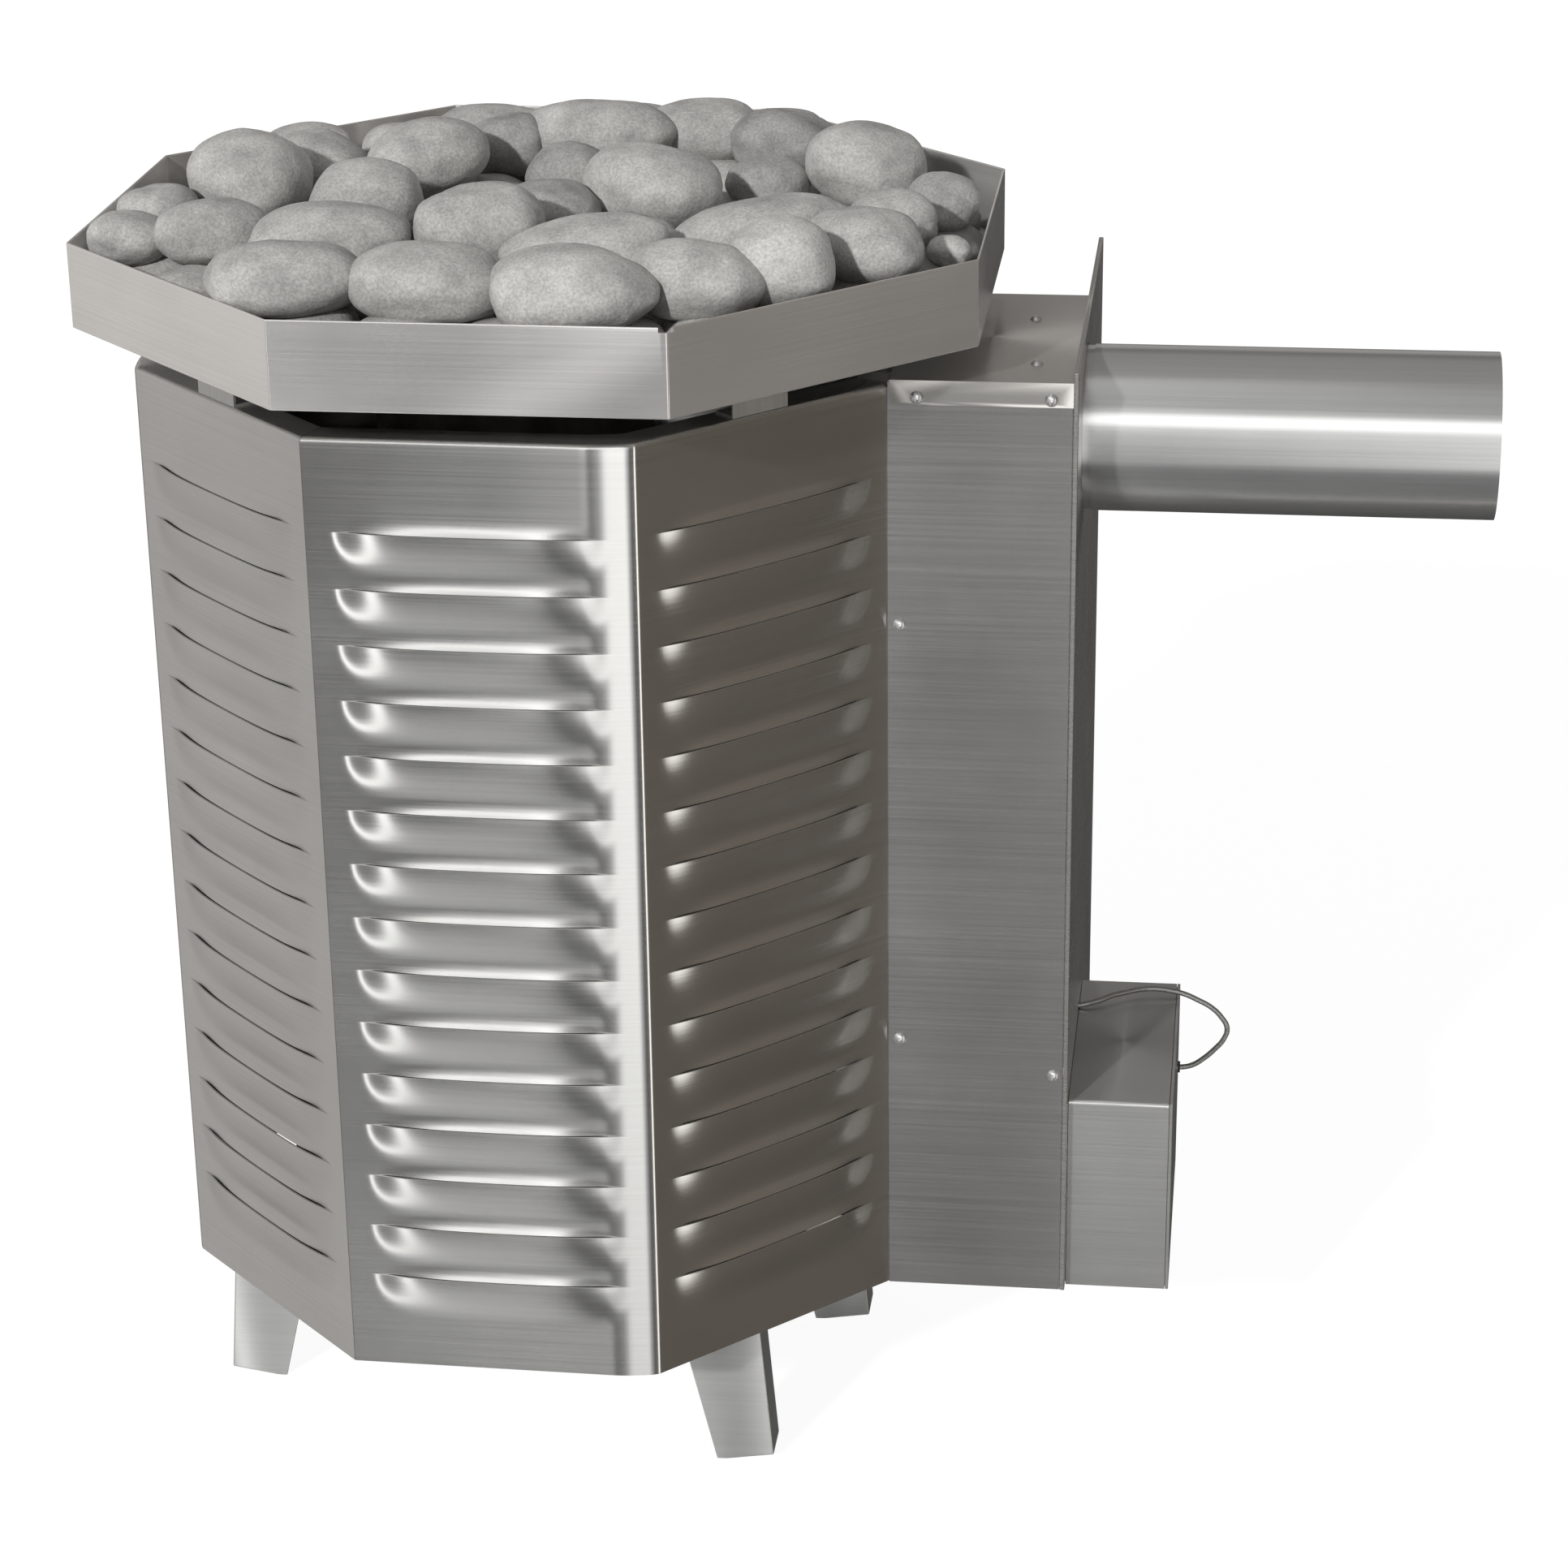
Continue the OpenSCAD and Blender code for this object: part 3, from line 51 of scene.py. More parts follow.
level = ahead.cross(Vector((0, 0, 1))).normalized()
upright = level.cross(ahead)
across = math.cos(lean) * level + math.sin(lean) * upright
top = math.cos(lean) * upright - math.sin(lean) * level
camera = bpy.data.objects.new("camera", bpy.data.cameras.new("camera"))
bpy.context.scene.collection.objects.link(camera)
camera.data.lens = 90.86
camera.data.sensor_width = 36
camera.matrix_world = Matrix.Translation(eye) @ Matrix((across, top, -ahead)).transposed().to_4x4()
bpy.context.scene.camera = camera
bpy.context.scene.view_settings.view_transform = "Standard"

# Floor and light: a white floor that keeps a soft shadow, low afternoon sun from the front left, and a plain
# white sky. The steel sees the yard round it: darker ahead and to the right, brighter beside both.
floor_half = 30
floor_mesh = bmesh.new()
bmesh.ops.create_grid(floor_mesh, x_segments=1, y_segments=1, size=floor_half)
floor_data = bpy.data.meshes.new("floor")
floor_mesh.to_mesh(floor_data)
floor_mesh.free()
floor = bpy.data.objects.new("floor", floor_data)
bpy.context.scene.collection.objects.link(floor)
floor.visible_glossy = False
paving = bpy.data.materials.new("pale_floor")
paving.use_nodes = True
tree = paving.node_tree
tree.nodes.clear()
stone_white = tree.nodes.new("ShaderNodeBsdfDiffuse")
stone_white.inputs["Color"].default_value = (0.8, 0.8, 0.8, 1)
faint = tree.nodes.new("ShaderNodeBsdfDiffuse")
faint.inputs["Color"].default_value = (0.12, 0.12, 0.12, 1)
glow = tree.nodes.new("ShaderNodeEmission")
glow.inputs["Strength"].default_value = 0.93
shown = tree.nodes.new("ShaderNodeAddShader")
tree.links.new(faint.outputs[0], shown.inputs[0])
tree.links.new(glow.outputs[0], shown.inputs[1])
ray = tree.nodes.new("ShaderNodeLightPath")
seen = tree.nodes.new("ShaderNodeMath")
seen.operation = "MAXIMUM"
tree.links.new(ray.outputs["Is Camera Ray"], seen.inputs[0])
tree.links.new(ray.outputs["Is Transmission Ray"], seen.inputs[1])
pick = tree.nodes.new("ShaderNodeMixShader")
tree.links.new(seen.outputs[0], pick.inputs[0])
tree.links.new(stone_white.outputs[0], pick.inputs[1])
tree.links.new(shown.outputs[0], pick.inputs[2])
surface = tree.nodes.new("ShaderNodeOutputMaterial")
tree.links.new(pick.outputs[0], surface.inputs[0])
floor.data.materials.append(paving)

sun = bpy.data.objects.new("sun", bpy.data.lights.new("sun", "SUN"))
bpy.context.scene.collection.objects.link(sun)
sun.data.energy = 3
sun.data.angle = math.radians(3)
sun_azimuth, sun_height = math.radians(-23.5), math.radians(26)
to_sun = Vector((math.sin(sun_azimuth) * math.cos(sun_height),
                 -math.cos(sun_azimuth) * math.cos(sun_height), math.sin(sun_height)))
sun.rotation_euler = to_sun.to_track_quat("Z", "Y").to_euler()
sun.visible_glossy = False

world = bpy.data.worlds.new("yard")
bpy.context.scene.world = world
world.use_nodes = True
tree = world.node_tree
tree.nodes.clear()
way = tree.nodes.new("ShaderNodeTexCoord")
parts = tree.nodes.new("ShaderNodeSeparateXYZ")
tree.links.new(way.outputs["Generated"], parts.inputs[0])
front = tree.nodes.new("ShaderNodeMath")
front.operation = "MULTIPLY"
front.inputs[1].default_value = -1
tree.links.new(parts.outputs["Y"], front.inputs[0])
turn = tree.nodes.new("ShaderNodeMath")
turn.operation = "ARCTAN2"
tree.links.new(parts.outputs["X"], turn.inputs[0])
tree.links.new(front.outputs[0], turn.inputs[1])
share = tree.nodes.new("ShaderNodeMapRange")
share.inputs["From Min"].default_value = -math.pi
share.inputs["From Max"].default_value = math.pi
tree.links.new(turn.outputs[0], share.inputs["Value"])
# Each ring gives the yard's brightness by direction, in degrees from straight ahead of the front face. From
# the lowest up, they are the ground close by, the ground further off, what stands just above the horizon,
# what stands higher up, and what is overhead. A ring passes into the next between two sines of the height.
rings = [
    [(-180, 0.05), (-150, 0.06), (-130, 0.4), (-110, 0.52), (-62, 0.45), (-40, 0.14), (-31, 0.3),
     (-30, 2.6), (-27, 2.6), (-26, 0.5), (-16, 0.6), (-13, 0.36), (-10, 0.2), (-6, 0.08), (14, 0.06),
     (30, 0.08), (52, 0.12), (56, 2.4), (61, 2.2), (66, 0.14), (80, 0.11), (108, 0.08), (145, 0.05),
     (180, 0.05)],
    [(-180, 0.05), (-150, 0.06), (-130, 0.42), (-110, 0.55), (-62, 0.48), (-40, 0.12), (-31, 0.3),
     (-30, 2.8), (-27, 2.8), (-26, 0.12), (-15, 0.08), (-13, 0.25), (-11, 0.55), (-8, 0.5), (-6.5, 0.2),
     (-4, 0.17), (-1.5, 0.34), (0, 0.36), (2, 0.55), (4.5, 1.1), (7, 2), (14, 1.9), (22, 0.8), (32, 0.14),
     (52, 0.12), (56, 2.6), (61, 2.2), (66, 0.14), (80, 0.11), (108, 0.08), (145, 0.05), (180, 0.05)],
    [(-180, 0.4), (-110, 0.58), (-62, 0.5), (-40, 0.3), (-31, 0.3), (-30, 2.4), (-27, 2.4), (-26, 0.3),
     (-14, 0.26), (-12, 0.4), (-10.5, 1.6), (-7.5, 1.8), (-6, 0.35), (-3, 0.26), (1, 0.8), (8, 1.6),
     (20, 1.4), (34, 0.2), (52, 0.3), (56, 2), (61, 1.8), (66, 0.2), (80, 0.14), (108, 0.12), (145, 0.3),
     (180, 0.4)],
    [(-180, 0.1), (-130, 0.2), (-110, 0.6), (-62, 0.8), (-30, 2), (-16, 3), (-6, 3), (8, 2.6), (20, 1.2),
     (40, 0.4), (80, 0.14), (108, 0.1), (145, 0.08), (180, 0.1)],
    [(-180, 0.25), (-110, 0.4), (-62, 0.5), (-30, 1), (-12, 0.9), (0, 0.36), (30, 0.28), (80, 0.2),
     (180, 0.25)]]
passages = [(-0.6, -0.48), (-0.14, 0.1), (0.32, 0.4), (0.52, 0.62)]
brown_side, brown_tint = (64, 120), 0.18
plain_half, side_tint = 38, 0.03
yard = None
for rows, passage in zip(rings, [None] + passages):
    ring = tree.nodes.new("ShaderNodeValToRGB")
    while len(ring.color_ramp.elements) < len(rows):
        ring.color_ramp.elements.new(0.5)
    for stop, (angle, bright) in zip(ring.color_ramp.elements, rows):
        brown = min(brown_side) < angle < max(brown_side)
        warm = brown_tint if brown else side_tint if abs(angle) > plain_half else 0
        stop.position = angle / 360 + 0.5
        stop.color = (bright * (1 + warm), bright, bright * (1 - warm), 1)
    tree.links.new(share.outputs[0], ring.inputs[0])
    if passage is None:
        yard = ring.outputs[0]
        continue
    height = tree.nodes.new("ShaderNodeMapRange")
    height.inputs["From Min"].default_value = min(passage)
    height.inputs["From Max"].default_value = max(passage)
    tree.links.new(parts.outputs["Z"], height.inputs["Value"])
    over = tree.nodes.new("ShaderNodeMix")
    over.data_type = "RGBA"
    tree.links.new(height.outputs[0], over.inputs[0])
    tree.links.new(yard, over.inputs[6])
    tree.links.new(ring.outputs[0], over.inputs[7])
    yard = over.outputs[2]
ray = tree.nodes.new("ShaderNodeLightPath")
fill = tree.nodes.new("ShaderNodeMix")
fill.data_type = "RGBA"
fill.inputs[6].default_value = (0.5, 0.5, 0.5, 1)
tree.links.new(ray.outputs["Is Glossy Ray"], fill.inputs[0])
tree.links.new(yard, fill.inputs[7])
seen = tree.nodes.new("ShaderNodeMath")
seen.operation = "MAXIMUM"
tree.links.new(ray.outputs["Is Camera Ray"], seen.inputs[0])
tree.links.new(ray.outputs["Is Transmission Ray"], seen.inputs[1])
whole = tree.nodes.new("ShaderNodeMix")
whole.data_type = "RGBA"
whole.inputs[7].default_value = (1, 1, 1, 1)
tree.links.new(seen.outputs[0], whole.inputs[0])
tree.links.new(fill.outputs[2], whole.inputs[6])
light = tree.nodes.new("ShaderNodeBackground")
tree.links.new(whole.outputs[2], light.inputs["Color"])
outside = tree.nodes.new("ShaderNodeOutputWorld")
tree.links.new(light.outputs[0], outside.inputs[0])


# Jacket: four stainless sheets of two faces each, louvred but for the face at the neck, which has a window
# instead. The louvres are pressed out of the flat sheet below a row of slits, then the sheet is folded down
# its middle and its top edge is turned in.
def brushed_steel(name, colour, lines, roughness=0.2, grain=1, mottle=0.1, axis="Z", metal=0.95):
    """Steel brushed along one way. lines is how many brush lines there are to a metre along each axis."""
    steel = bpy.data.materials.new(name)
    steel.use_nodes = True
    tree = steel.node_tree
    shader = tree.nodes["Principled BSDF"]
    shader.inputs["Metallic"].default_value = metal
    shader.inputs["Anisotropic"].default_value = grain
    shader.inputs["Anisotropic Rotation"].default_value = 0.25
    place = tree.nodes.new("ShaderNodeTexCoord")
    stretch = tree.nodes.new("ShaderNodeMapping")
    stretch.inputs["Scale"].default_value = lines
    tree.links.new(place.outputs["Object"], stretch.inputs["Vector"])
    brush = tree.nodes.new("ShaderNodeTexNoise")
    brush.inputs["Scale"].default_value = 1
    brush.inputs["Detail"].default_value = 3
    brush.inputs["Roughness"].default_value = 0.65
    tree.links.new(stretch.outputs[0], brush.inputs["Vector"])
    smear = tree.nodes.new("ShaderNodeTexNoise")
    smear.inputs["Scale"].default_value = 9
    smear.inputs["Detail"].default_value = 3
    tree.links.new(place.outputs["Object"], smear.inputs["Vector"])
    both = tree.nodes.new("ShaderNodeMath")
    both.operation = "ADD"
    tree.links.new(brush.outputs["Fac"], both.inputs[0])
    tree.links.new(smear.outputs["Fac"], both.inputs[1])
    tone = tree.nodes.new("ShaderNodeMapRange")
    tone.inputs["From Min"].default_value = 0.6
    tone.inputs["From Max"].default_value = 1.4
    tone.inputs["To Min"].default_value = 1 - mottle
    tone.inputs["To Max"].default_value = 1 + mottle
    tree.links.new(both.outputs[0], tone.inputs["Value"])
    tint = tree.nodes.new("ShaderNodeVectorMath")
    tint.operation = "SCALE"
    tint.inputs[0].default_value = colour
    tree.links.new(tone.outputs[0], tint.inputs["Scale"])
    tree.links.new(tint.outputs[0], shader.inputs["Base Color"])
    dull = tree.nodes.new("ShaderNodeMapRange")
    dull.inputs["From Min"].default_value = 0.6
    dull.inputs["From Max"].default_value = 1.4
    dull.inputs["To Min"].default_value = roughness - 0.03
    dull.inputs["To Max"].default_value = roughness + 0.04
    tree.links.new(both.outputs[0], dull.inputs["Value"])
    tree.links.new(dull.outputs[0], shader.inputs["Roughness"])
    scratch = tree.nodes.new("ShaderNodeBump")
    scratch.inputs["Strength"].default_value = 0.04
    scratch.inputs["Distance"].default_value = 0.0002
    tree.links.new(brush.outputs["Fac"], scratch.inputs["Height"])
    tree.links.new(scratch.outputs[0], shader.inputs["Normal"])
    along = tree.nodes.new("ShaderNodeTangent")
    along.direction_type = "RADIAL"
    along.axis = axis
    tree.links.new(along.outputs[0], shader.inputs["Tangent"])
    return steel


def finish_piece(name, made, steel, body="stove", sharp=0.6):
    """Turns a bmesh into a piece that rides on its body. Edges that turn by more than sharp stay sharp."""
    for face in made.faces:
        face.smooth = True
    for edge in made.edges:
        edge.smooth = len(edge.link_faces) == 2 and edge.calc_face_angle(0) < sharp
    data = bpy.data.meshes.new(name)
    made.to_mesh(data)
    made.free()
    piece = bpy.data.objects.new(name, data)
    bpy.context.scene.collection.objects.link(piece)
    piece.data.materials.append(steel)
    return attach(piece, body)


axis_x = -0.165
jacket_a = 0.2285
jacket_low, jacket_high = 0.114, 0.714
sheet = 0.0012
half_corner = math.pi / 8
face_w = 2 * jacket_a * math.tan(half_corner)
seam_gap, bend = 0.0003, 0.012
setback = bend * math.tan(half_corner)
bow_near, bow_far, bow_lean, bow_rest = 0.008, 0.022, math.radians(9), 0.005
top_turn, top_round = 0.02, 0.003
slit_first, slit_pitch, slit_rows = 0.658, 0.0344, 15
slit_last = slit_first - slit_pitch * slit_rows
louvre_half, louvre_end, louvre_out, louvre_long, louvre_round = 0.0816, 0.011, 0.0052, 0.032, 0.028
flare_half, flare_end, flare_out, flare_long = 0.07, 0.012, 0.0035, 0.0095
window_half, window_low, window_high = 0.075, 0.144, 0.712
row_shares = [0, 0.03, 0.08, 0.15, 0.25, 0.37, 0.5, 0.62, 0.72, 0.8, 0.87, 0.94]


def louvre_rise(along, below, row):
    """How far the sheet stands out, at a distance along from a louvre's middle and below its slit. The strip
    over each slit flares out a little too."""
    drop = min(1, below / louvre_long) if row >= 0 else 1
    narrow = louvre_round * (1 - math.sqrt(max(0, 1 - drop ** 2)))
    inside = max(0, louvre_half - narrow - along) / louvre_end
    swell = 1 - (1 + inside) * math.exp(-inside)
    lip = max(0, 1 - (slit_pitch - below) / flare_long) if row < slit_rows - 1 else 0
    inside = max(0, flare_half - along) / flare_end
    lift = 1 - (1 + inside) * math.exp(-inside)
    return swell * louvre_out * (1 - drop ** 2) ** 2 + lift * flare_out * lip ** 2


def bow(away):
    """How far a face stands out of flat, at a distance from its fold: it dips towards the fold."""
    high = bow_lean * (bow_near + bow_far) / 2
    if away < bow_near:
        return bow_lean * away
    if away < bow_far:
        return high - bow_lean * (bow_far - away) ** 2 / (bow_far - bow_near) / 2
    return high * (1 - (away - bow_far) / (face_w - bow_far - bow_rest))


def face_middle(across):
    return face_w * (0.5 if across < face_w else 1.5)


def flat_sheet():
    """The flat sheet of two faces as a grid, in x along it and y up it, with rows close together at slits."""
    on_face, on_fold = 74, 10
    span = face_w - setback - seam_gap
    columns = [seam_gap + span * i / on_face for i in range(on_face)]
    columns += [face_w - setback + 2 * setback * i / on_fold for i in range(on_fold)]
    columns += [face_w + setback + span * i / on_face for i in range(on_face + 1)]
    plain = 6
    rows = [jacket_low + (slit_last - jacket_low) * i / plain for i in range(plain)]
    rows += [slit_last + slit_pitch * (slit_rows - row - share) for row in reversed(range(slit_rows))
             for share in reversed(row_shares[1:] + [1])]
    rows += [slit_first + rise for rise in (0, 0.002, 0.0045, 0.007)]
    rows += [slit_first + (jacket_high - slit_first) * i / plain for i in range(1, plain + 1)]
    made = bmesh.new()
    wide, tall = len(columns) - 1, len(rows) - 1
    bmesh.ops.create_grid(made, x_segments=wide, y_segments=tall, size=1)
    for vert in made.verts:
        vert.co.x = columns[round((vert.co.x + 1) / 2 * wide)]
        vert.co.y = rows[round((vert.co.y + 1) / 2 * tall)]
    return made


def cut_slits(made, louvred):
    """Splits the flat sheet along the slit over each louvre."""
    slits = []
    for edge in made.edges:
        a, b = (v.co for v in edge.verts)
        depth = (slit_first - a.y) / slit_pitch
        on_slit = abs(a.y - b.y) < 1e-6 and abs(depth - round(depth)) < 1e-3 and 0 <= round(depth) < slit_rows
        centre = (a.x + b.x) / 2
        if on_slit and louvred[0 if centre < face_w else 1]:
            if abs(centre - face_middle(centre)) < louvre_half:
                slits.append(edge)
    bmesh.ops.split_edges(made, edges=slits)


def pressed_rise(vert, louvred):
    """How far a point of the flat sheet is pressed out."""
    across, height = vert.co.x, vert.co.y
    if not louvred[0 if across < face_w else 1] or height <= slit_last + 1e-6:
        return 0
    depth = (slit_first - height) / slit_pitch
    row = math.floor(depth + 1e-4)
    below = (depth - row) * slit_pitch
    over_slit = all(f.calc_center_median().y > height for f in vert.link_faces)
    if abs(below) < 1e-5 and over_slit:
        row, below = row - 1, slit_pitch
    return louvre_rise(abs(across - face_middle(across)), below, row) if row >= -1 else 0


def folded_place(across, first_corner, bowed):
    """Where a point of the flat sheet comes to lie in plan when it is folded, and which way it faces."""
    off = across - face_w
    first_facing = math.radians(first_corner + 22.5)
    if abs(off) >= setback:
        facing = math.radians(first_corner + 22.5 + 45 * (0 if off < 0 else 1))
        run = Vector((-math.sin(facing), math.cos(facing), 0))
        lift = max(0, bow(-off - setback)) if off < 0 and bowed else 0
        start = Vector((math.cos(facing), math.sin(facing), 0)) * (jacket_a + lift)
        return start + run * (across - face_middle(across)), facing
    ends = []
    for turned, step in ((bow_lean if bowed else 0, -setback), (math.pi / 4, setback)):
        flat = first_facing + (math.pi / 4 if step > 0 else 0)
        corner = Vector((math.cos(flat), math.sin(flat), 0)) * jacket_a
        corner += Vector((-math.sin(flat), math.cos(flat), 0)) * (step - math.copysign(face_w / 2, step))
        away = first_facing + turned
        ends.append((corner, Vector((-math.sin(away), math.cos(away), 0))))
    (a, along_a), (b, along_b) = ends
    knee = a + along_a * ((b - a).cross(along_b).z / along_a.cross(along_b).z)
    t = (off / setback + 1) / 2
    heading = (knee - a) * (1 - t) + (b - knee) * t
    return a * (1 - t) ** 2 + knee * 2 * t * (1 - t) + b * t ** 2, math.atan2(-heading.x, heading.y)


def pressed_sheet(name, first_corner, louvred, window=False):
    """A folded sheet of two faces, from the octagon's corner at so many degrees, with its top turned in."""
    made = flat_sheet()
    cut_slits(made, louvred)
    if window:
        hole = [f for f in made.faces if abs(f.calc_center_median().x - face_w / 2) < window_half
                and window_low < f.calc_center_median().y < window_high]
        bmesh.ops.delete(made, geom=hole, context="FACES")
    places = []
    for vert in made.verts:
        place, facing = folded_place(vert.co.x, first_corner, louvred[0])
        out = Vector((math.cos(facing), math.sin(facing), 0))
        places.append(place + out * pressed_rise(vert, louvred) + Vector((0, 0, vert.co.y)))
    for vert, place in zip(made.verts, places):
        vert.co = place
    rim = [e for e in made.edges if e.is_boundary and all(v.co.z > jacket_high - 1e-6 for v in e.verts)]
    turned = bmesh.ops.extrude_edge_only(made, edges=rim)
    inner = [g for g in turned["geom"] if isinstance(g, bmesh.types.BMVert)]
    shrink = 1 - top_turn / jacket_a
    bmesh.ops.scale(made, vec=(shrink, shrink, 1), verts=inner)
    bmesh.ops.bevel(made, geom=rim, offset=top_round, segments=4, profile=0.5, affect="EDGES", material=-1)
    bmesh.ops.recalc_face_normals(made, faces=made.faces)
    bmesh.ops.solidify(made, geom=made.faces[:], thickness=sheet)
    bmesh.ops.translate(made, vec=(axis_x, 0, 0), verts=made.verts)
    piece = finish_piece(name, made, jacket_steel)
    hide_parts(name.replace("_sheet", ""))


jacket_steel = brushed_steel("jacket_steel", (0.56, 0.555, 0.54), (4, 4, 900))
pressed_sheet("jacket_front_sheet", -112.5, (True, True))
pressed_sheet("jacket_neck_side_sheet", -22.5, (False, True), window=True)
pressed_sheet("jacket_back_sheet", 67.5, (True, True))
pressed_sheet("jacket_left_sheet", 157.5, (True, True))

# Legs, pan and bolts: four legs of 2 mm plate, each folded down one side and under the pan, and bolted to it.
# Every folded sheet below is the model's own shape with its folds rounded and its cut edges eased. A fold
# is told from a cut edge by its angle, its length and the width of the faces beside it.
fold_angle, fold_length, fold_width = 0.45, 0.01, 0.0035
cut_angle, cut_length = 0.7, 0.0008


def eased(name, node, steel, fold=0.002, ease=0.0002, body="stove"):
    """A copy of a sheet whose outside folds are rounded and whose cut edges are broken."""
    made = bmesh.new()
    made.from_mesh(nodes[node].data)
    bmesh.ops.remove_doubles(made, verts=made.verts, dist=2e-5)
    bmesh.ops.dissolve_limit(made, angle_limit=math.radians(0.5), verts=made.verts, edges=made.edges)

    def width(face, edge):
        return face.calc_area() / max(edge.calc_length(), 1e-6)

    def outside(edge, least):
        return len(edge.link_faces) == 2 and edge.calc_face_angle_signed(0) > least

    if fold:
        folds = [e for e in made.edges if outside(e, fold_angle) and e.calc_length() > fold_length
                 and min(width(f, e) for f in e.link_faces) > fold_width]
        bmesh.ops.bevel(made, geom=folds, offset=fold, segments=4, profile=0.5, affect="EDGES",
                        material=-1, clamp_overlap=True)
    cut = [e for e in made.edges if outside(e, cut_angle) and e.calc_length() > cut_length]
    bmesh.ops.bevel(made, geom=cut, offset=ease, segments=1, profile=0.5, affect="EDGES", material=-1,
                    clamp_overlap=True)
    bmesh.ops.triangulate(made, faces=[f for f in made.faces if len(f.verts) > 4])
    piece = finish_piece(name, made, steel, body)
    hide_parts(node)


leg_steel = brushed_steel("leg_steel", (0.6, 0.6, 0.59), (4, 4, 700), roughness=0.3, mottle=0.09, metal=0.8)
eased("folded_legs", "legs", leg_steel, fold=0.0025)


def dress(material, *names):
    """Gives a finish to parts of the model that keep their own shape."""
    for name in names:
        piece = nodes[name]
        if not piece.material_slots:
            piece.data.materials.append(material)
        for place in piece.material_slots:
            place.material = material


mill_steel = brushed_steel("mill_steel", (0.5, 0.5, 0.49), (260, 260, 4), roughness=0.38, grain=0,
                           mottle=0.14)
dress(mill_steel, "base_pan", "seam_strips", "tray_stands", "tray_bearers", "tray_grate", "neck_frame",
      "flue_strap", "valve_panel", "bulb_clip")
bolt_steel = brushed_steel("bolt_steel", (0.7, 0.7, 0.7), (500, 500, 500), roughness=0.28, grain=0)
dress(bolt_steel, "leg_bolts", "knob_spindle", "cover_clips")

# Tray: an octagonal steel rim with a notch at its front right corner, on four stands over the jacket
tray_steel = brushed_steel("tray_steel", (0.72, 0.705, 0.685), (4, 4, 900), metal=0.8)
eased("folded_tray_rim", "tray_rim", tray_steel, fold=0.0012)

# Stones: grey river stones, rounded and matt. A bed of them fills the tray, and thirty or so larger ones lie
# on the bed. Each is a little different in shape and tone.
tray_x, tray_a = axis_x + 0.012, 0.2685
grate_top, bed_top = 0.7535, 0.7875
sink = 0.009
stone_square = 2.2
stone_lumps = [(0.8, 0.17), (2.1, 0.04), (6, 0.008)]
river_stone = bpy.data.materials.new("river_stone")
river_stone.use_nodes = True
tree = river_stone.node_tree
shader = tree.nodes["Principled BSDF"]
shader.inputs["Specular IOR Level"].default_value = 0.35
own_tone = tree.nodes.new("ShaderNodeAttribute")
own_tone.attribute_name = "tone"
place = tree.nodes.new("ShaderNodeTexCoord")
clouds = tree.nodes.new("ShaderNodeTexNoise")
clouds.inputs["Scale"].default_value = 38
clouds.inputs["Detail"].default_value = 5
clouds.inputs["Roughness"].default_value = 0.6
tree.links.new(place.outputs["Object"], clouds.inputs["Vector"])
mixed = tree.nodes.new("ShaderNodeMath")
mixed.operation = "MULTIPLY_ADD"
mixed.inputs[1].default_value = 0.7
tree.links.new(clouds.outputs["Fac"], mixed.inputs[0])
tree.links.new(own_tone.outputs["Fac"], mixed.inputs[2])
greys = tree.nodes.new("ShaderNodeValToRGB")
greys.color_ramp.elements[0].position = 0.2
greys.color_ramp.elements[0].color = (0.07, 0.07, 0.072, 1)
greys.color_ramp.elements[1].position = 1.0
greys.color_ramp.elements[1].color = (0.54, 0.53, 0.505, 1)
middle_grey = greys.color_ramp.elements.new(0.6)
middle_grey.color = (0.3, 0.293, 0.282, 1)
tree.links.new(mixed.outputs[0], greys.inputs[0])
grains = tree.nodes.new("ShaderNodeTexNoise")
grains.inputs["Scale"].default_value = 620
grains.inputs["Detail"].default_value = 2
tree.links.new(place.outputs["Object"], grains.inputs["Vector"])
speck = tree.nodes.new("ShaderNodeMapRange")
speck.inputs["From Min"].default_value = 0.3
speck.inputs["From Max"].default_value = 0.7
speck.inputs["To Min"].default_value = 0.82
speck.inputs["To Max"].default_value = 1.2
tree.links.new(grains.outputs["Fac"], speck.inputs["Value"])
shade = tree.nodes.new("ShaderNodeVectorMath")
shade.operation = "SCALE"
tree.links.new(greys.outputs["Color"], shade.inputs[0])
tree.links.new(speck.outputs[0], shade.inputs["Scale"])
tree.links.new(shade.outputs[0], shader.inputs["Base Color"])
matt = tree.nodes.new("ShaderNodeMapRange")
matt.inputs["To Min"].default_value = 0.66
matt.inputs["To Max"].default_value = 0.92
tree.links.new(grains.outputs["Fac"], matt.inputs["Value"])
tree.links.new(matt.outputs[0], shader.inputs["Roughness"])
pores = tree.nodes.new("ShaderNodeTexNoise")
pores.inputs["Scale"].default_value = 240
pores.inputs["Detail"].default_value = 5
pores.inputs["Roughness"].default_value = 0.65
tree.links.new(place.outputs["Object"], pores.inputs["Vector"])
skin = tree.nodes.new("ShaderNodeBump")
skin.inputs["Strength"].default_value = 0.5
skin.inputs["Distance"].default_value = 0.0012
tree.links.new(pores.outputs["Fac"], skin.inputs["Height"])
tree.links.new(skin.outputs[0], shader.inputs["Normal"])


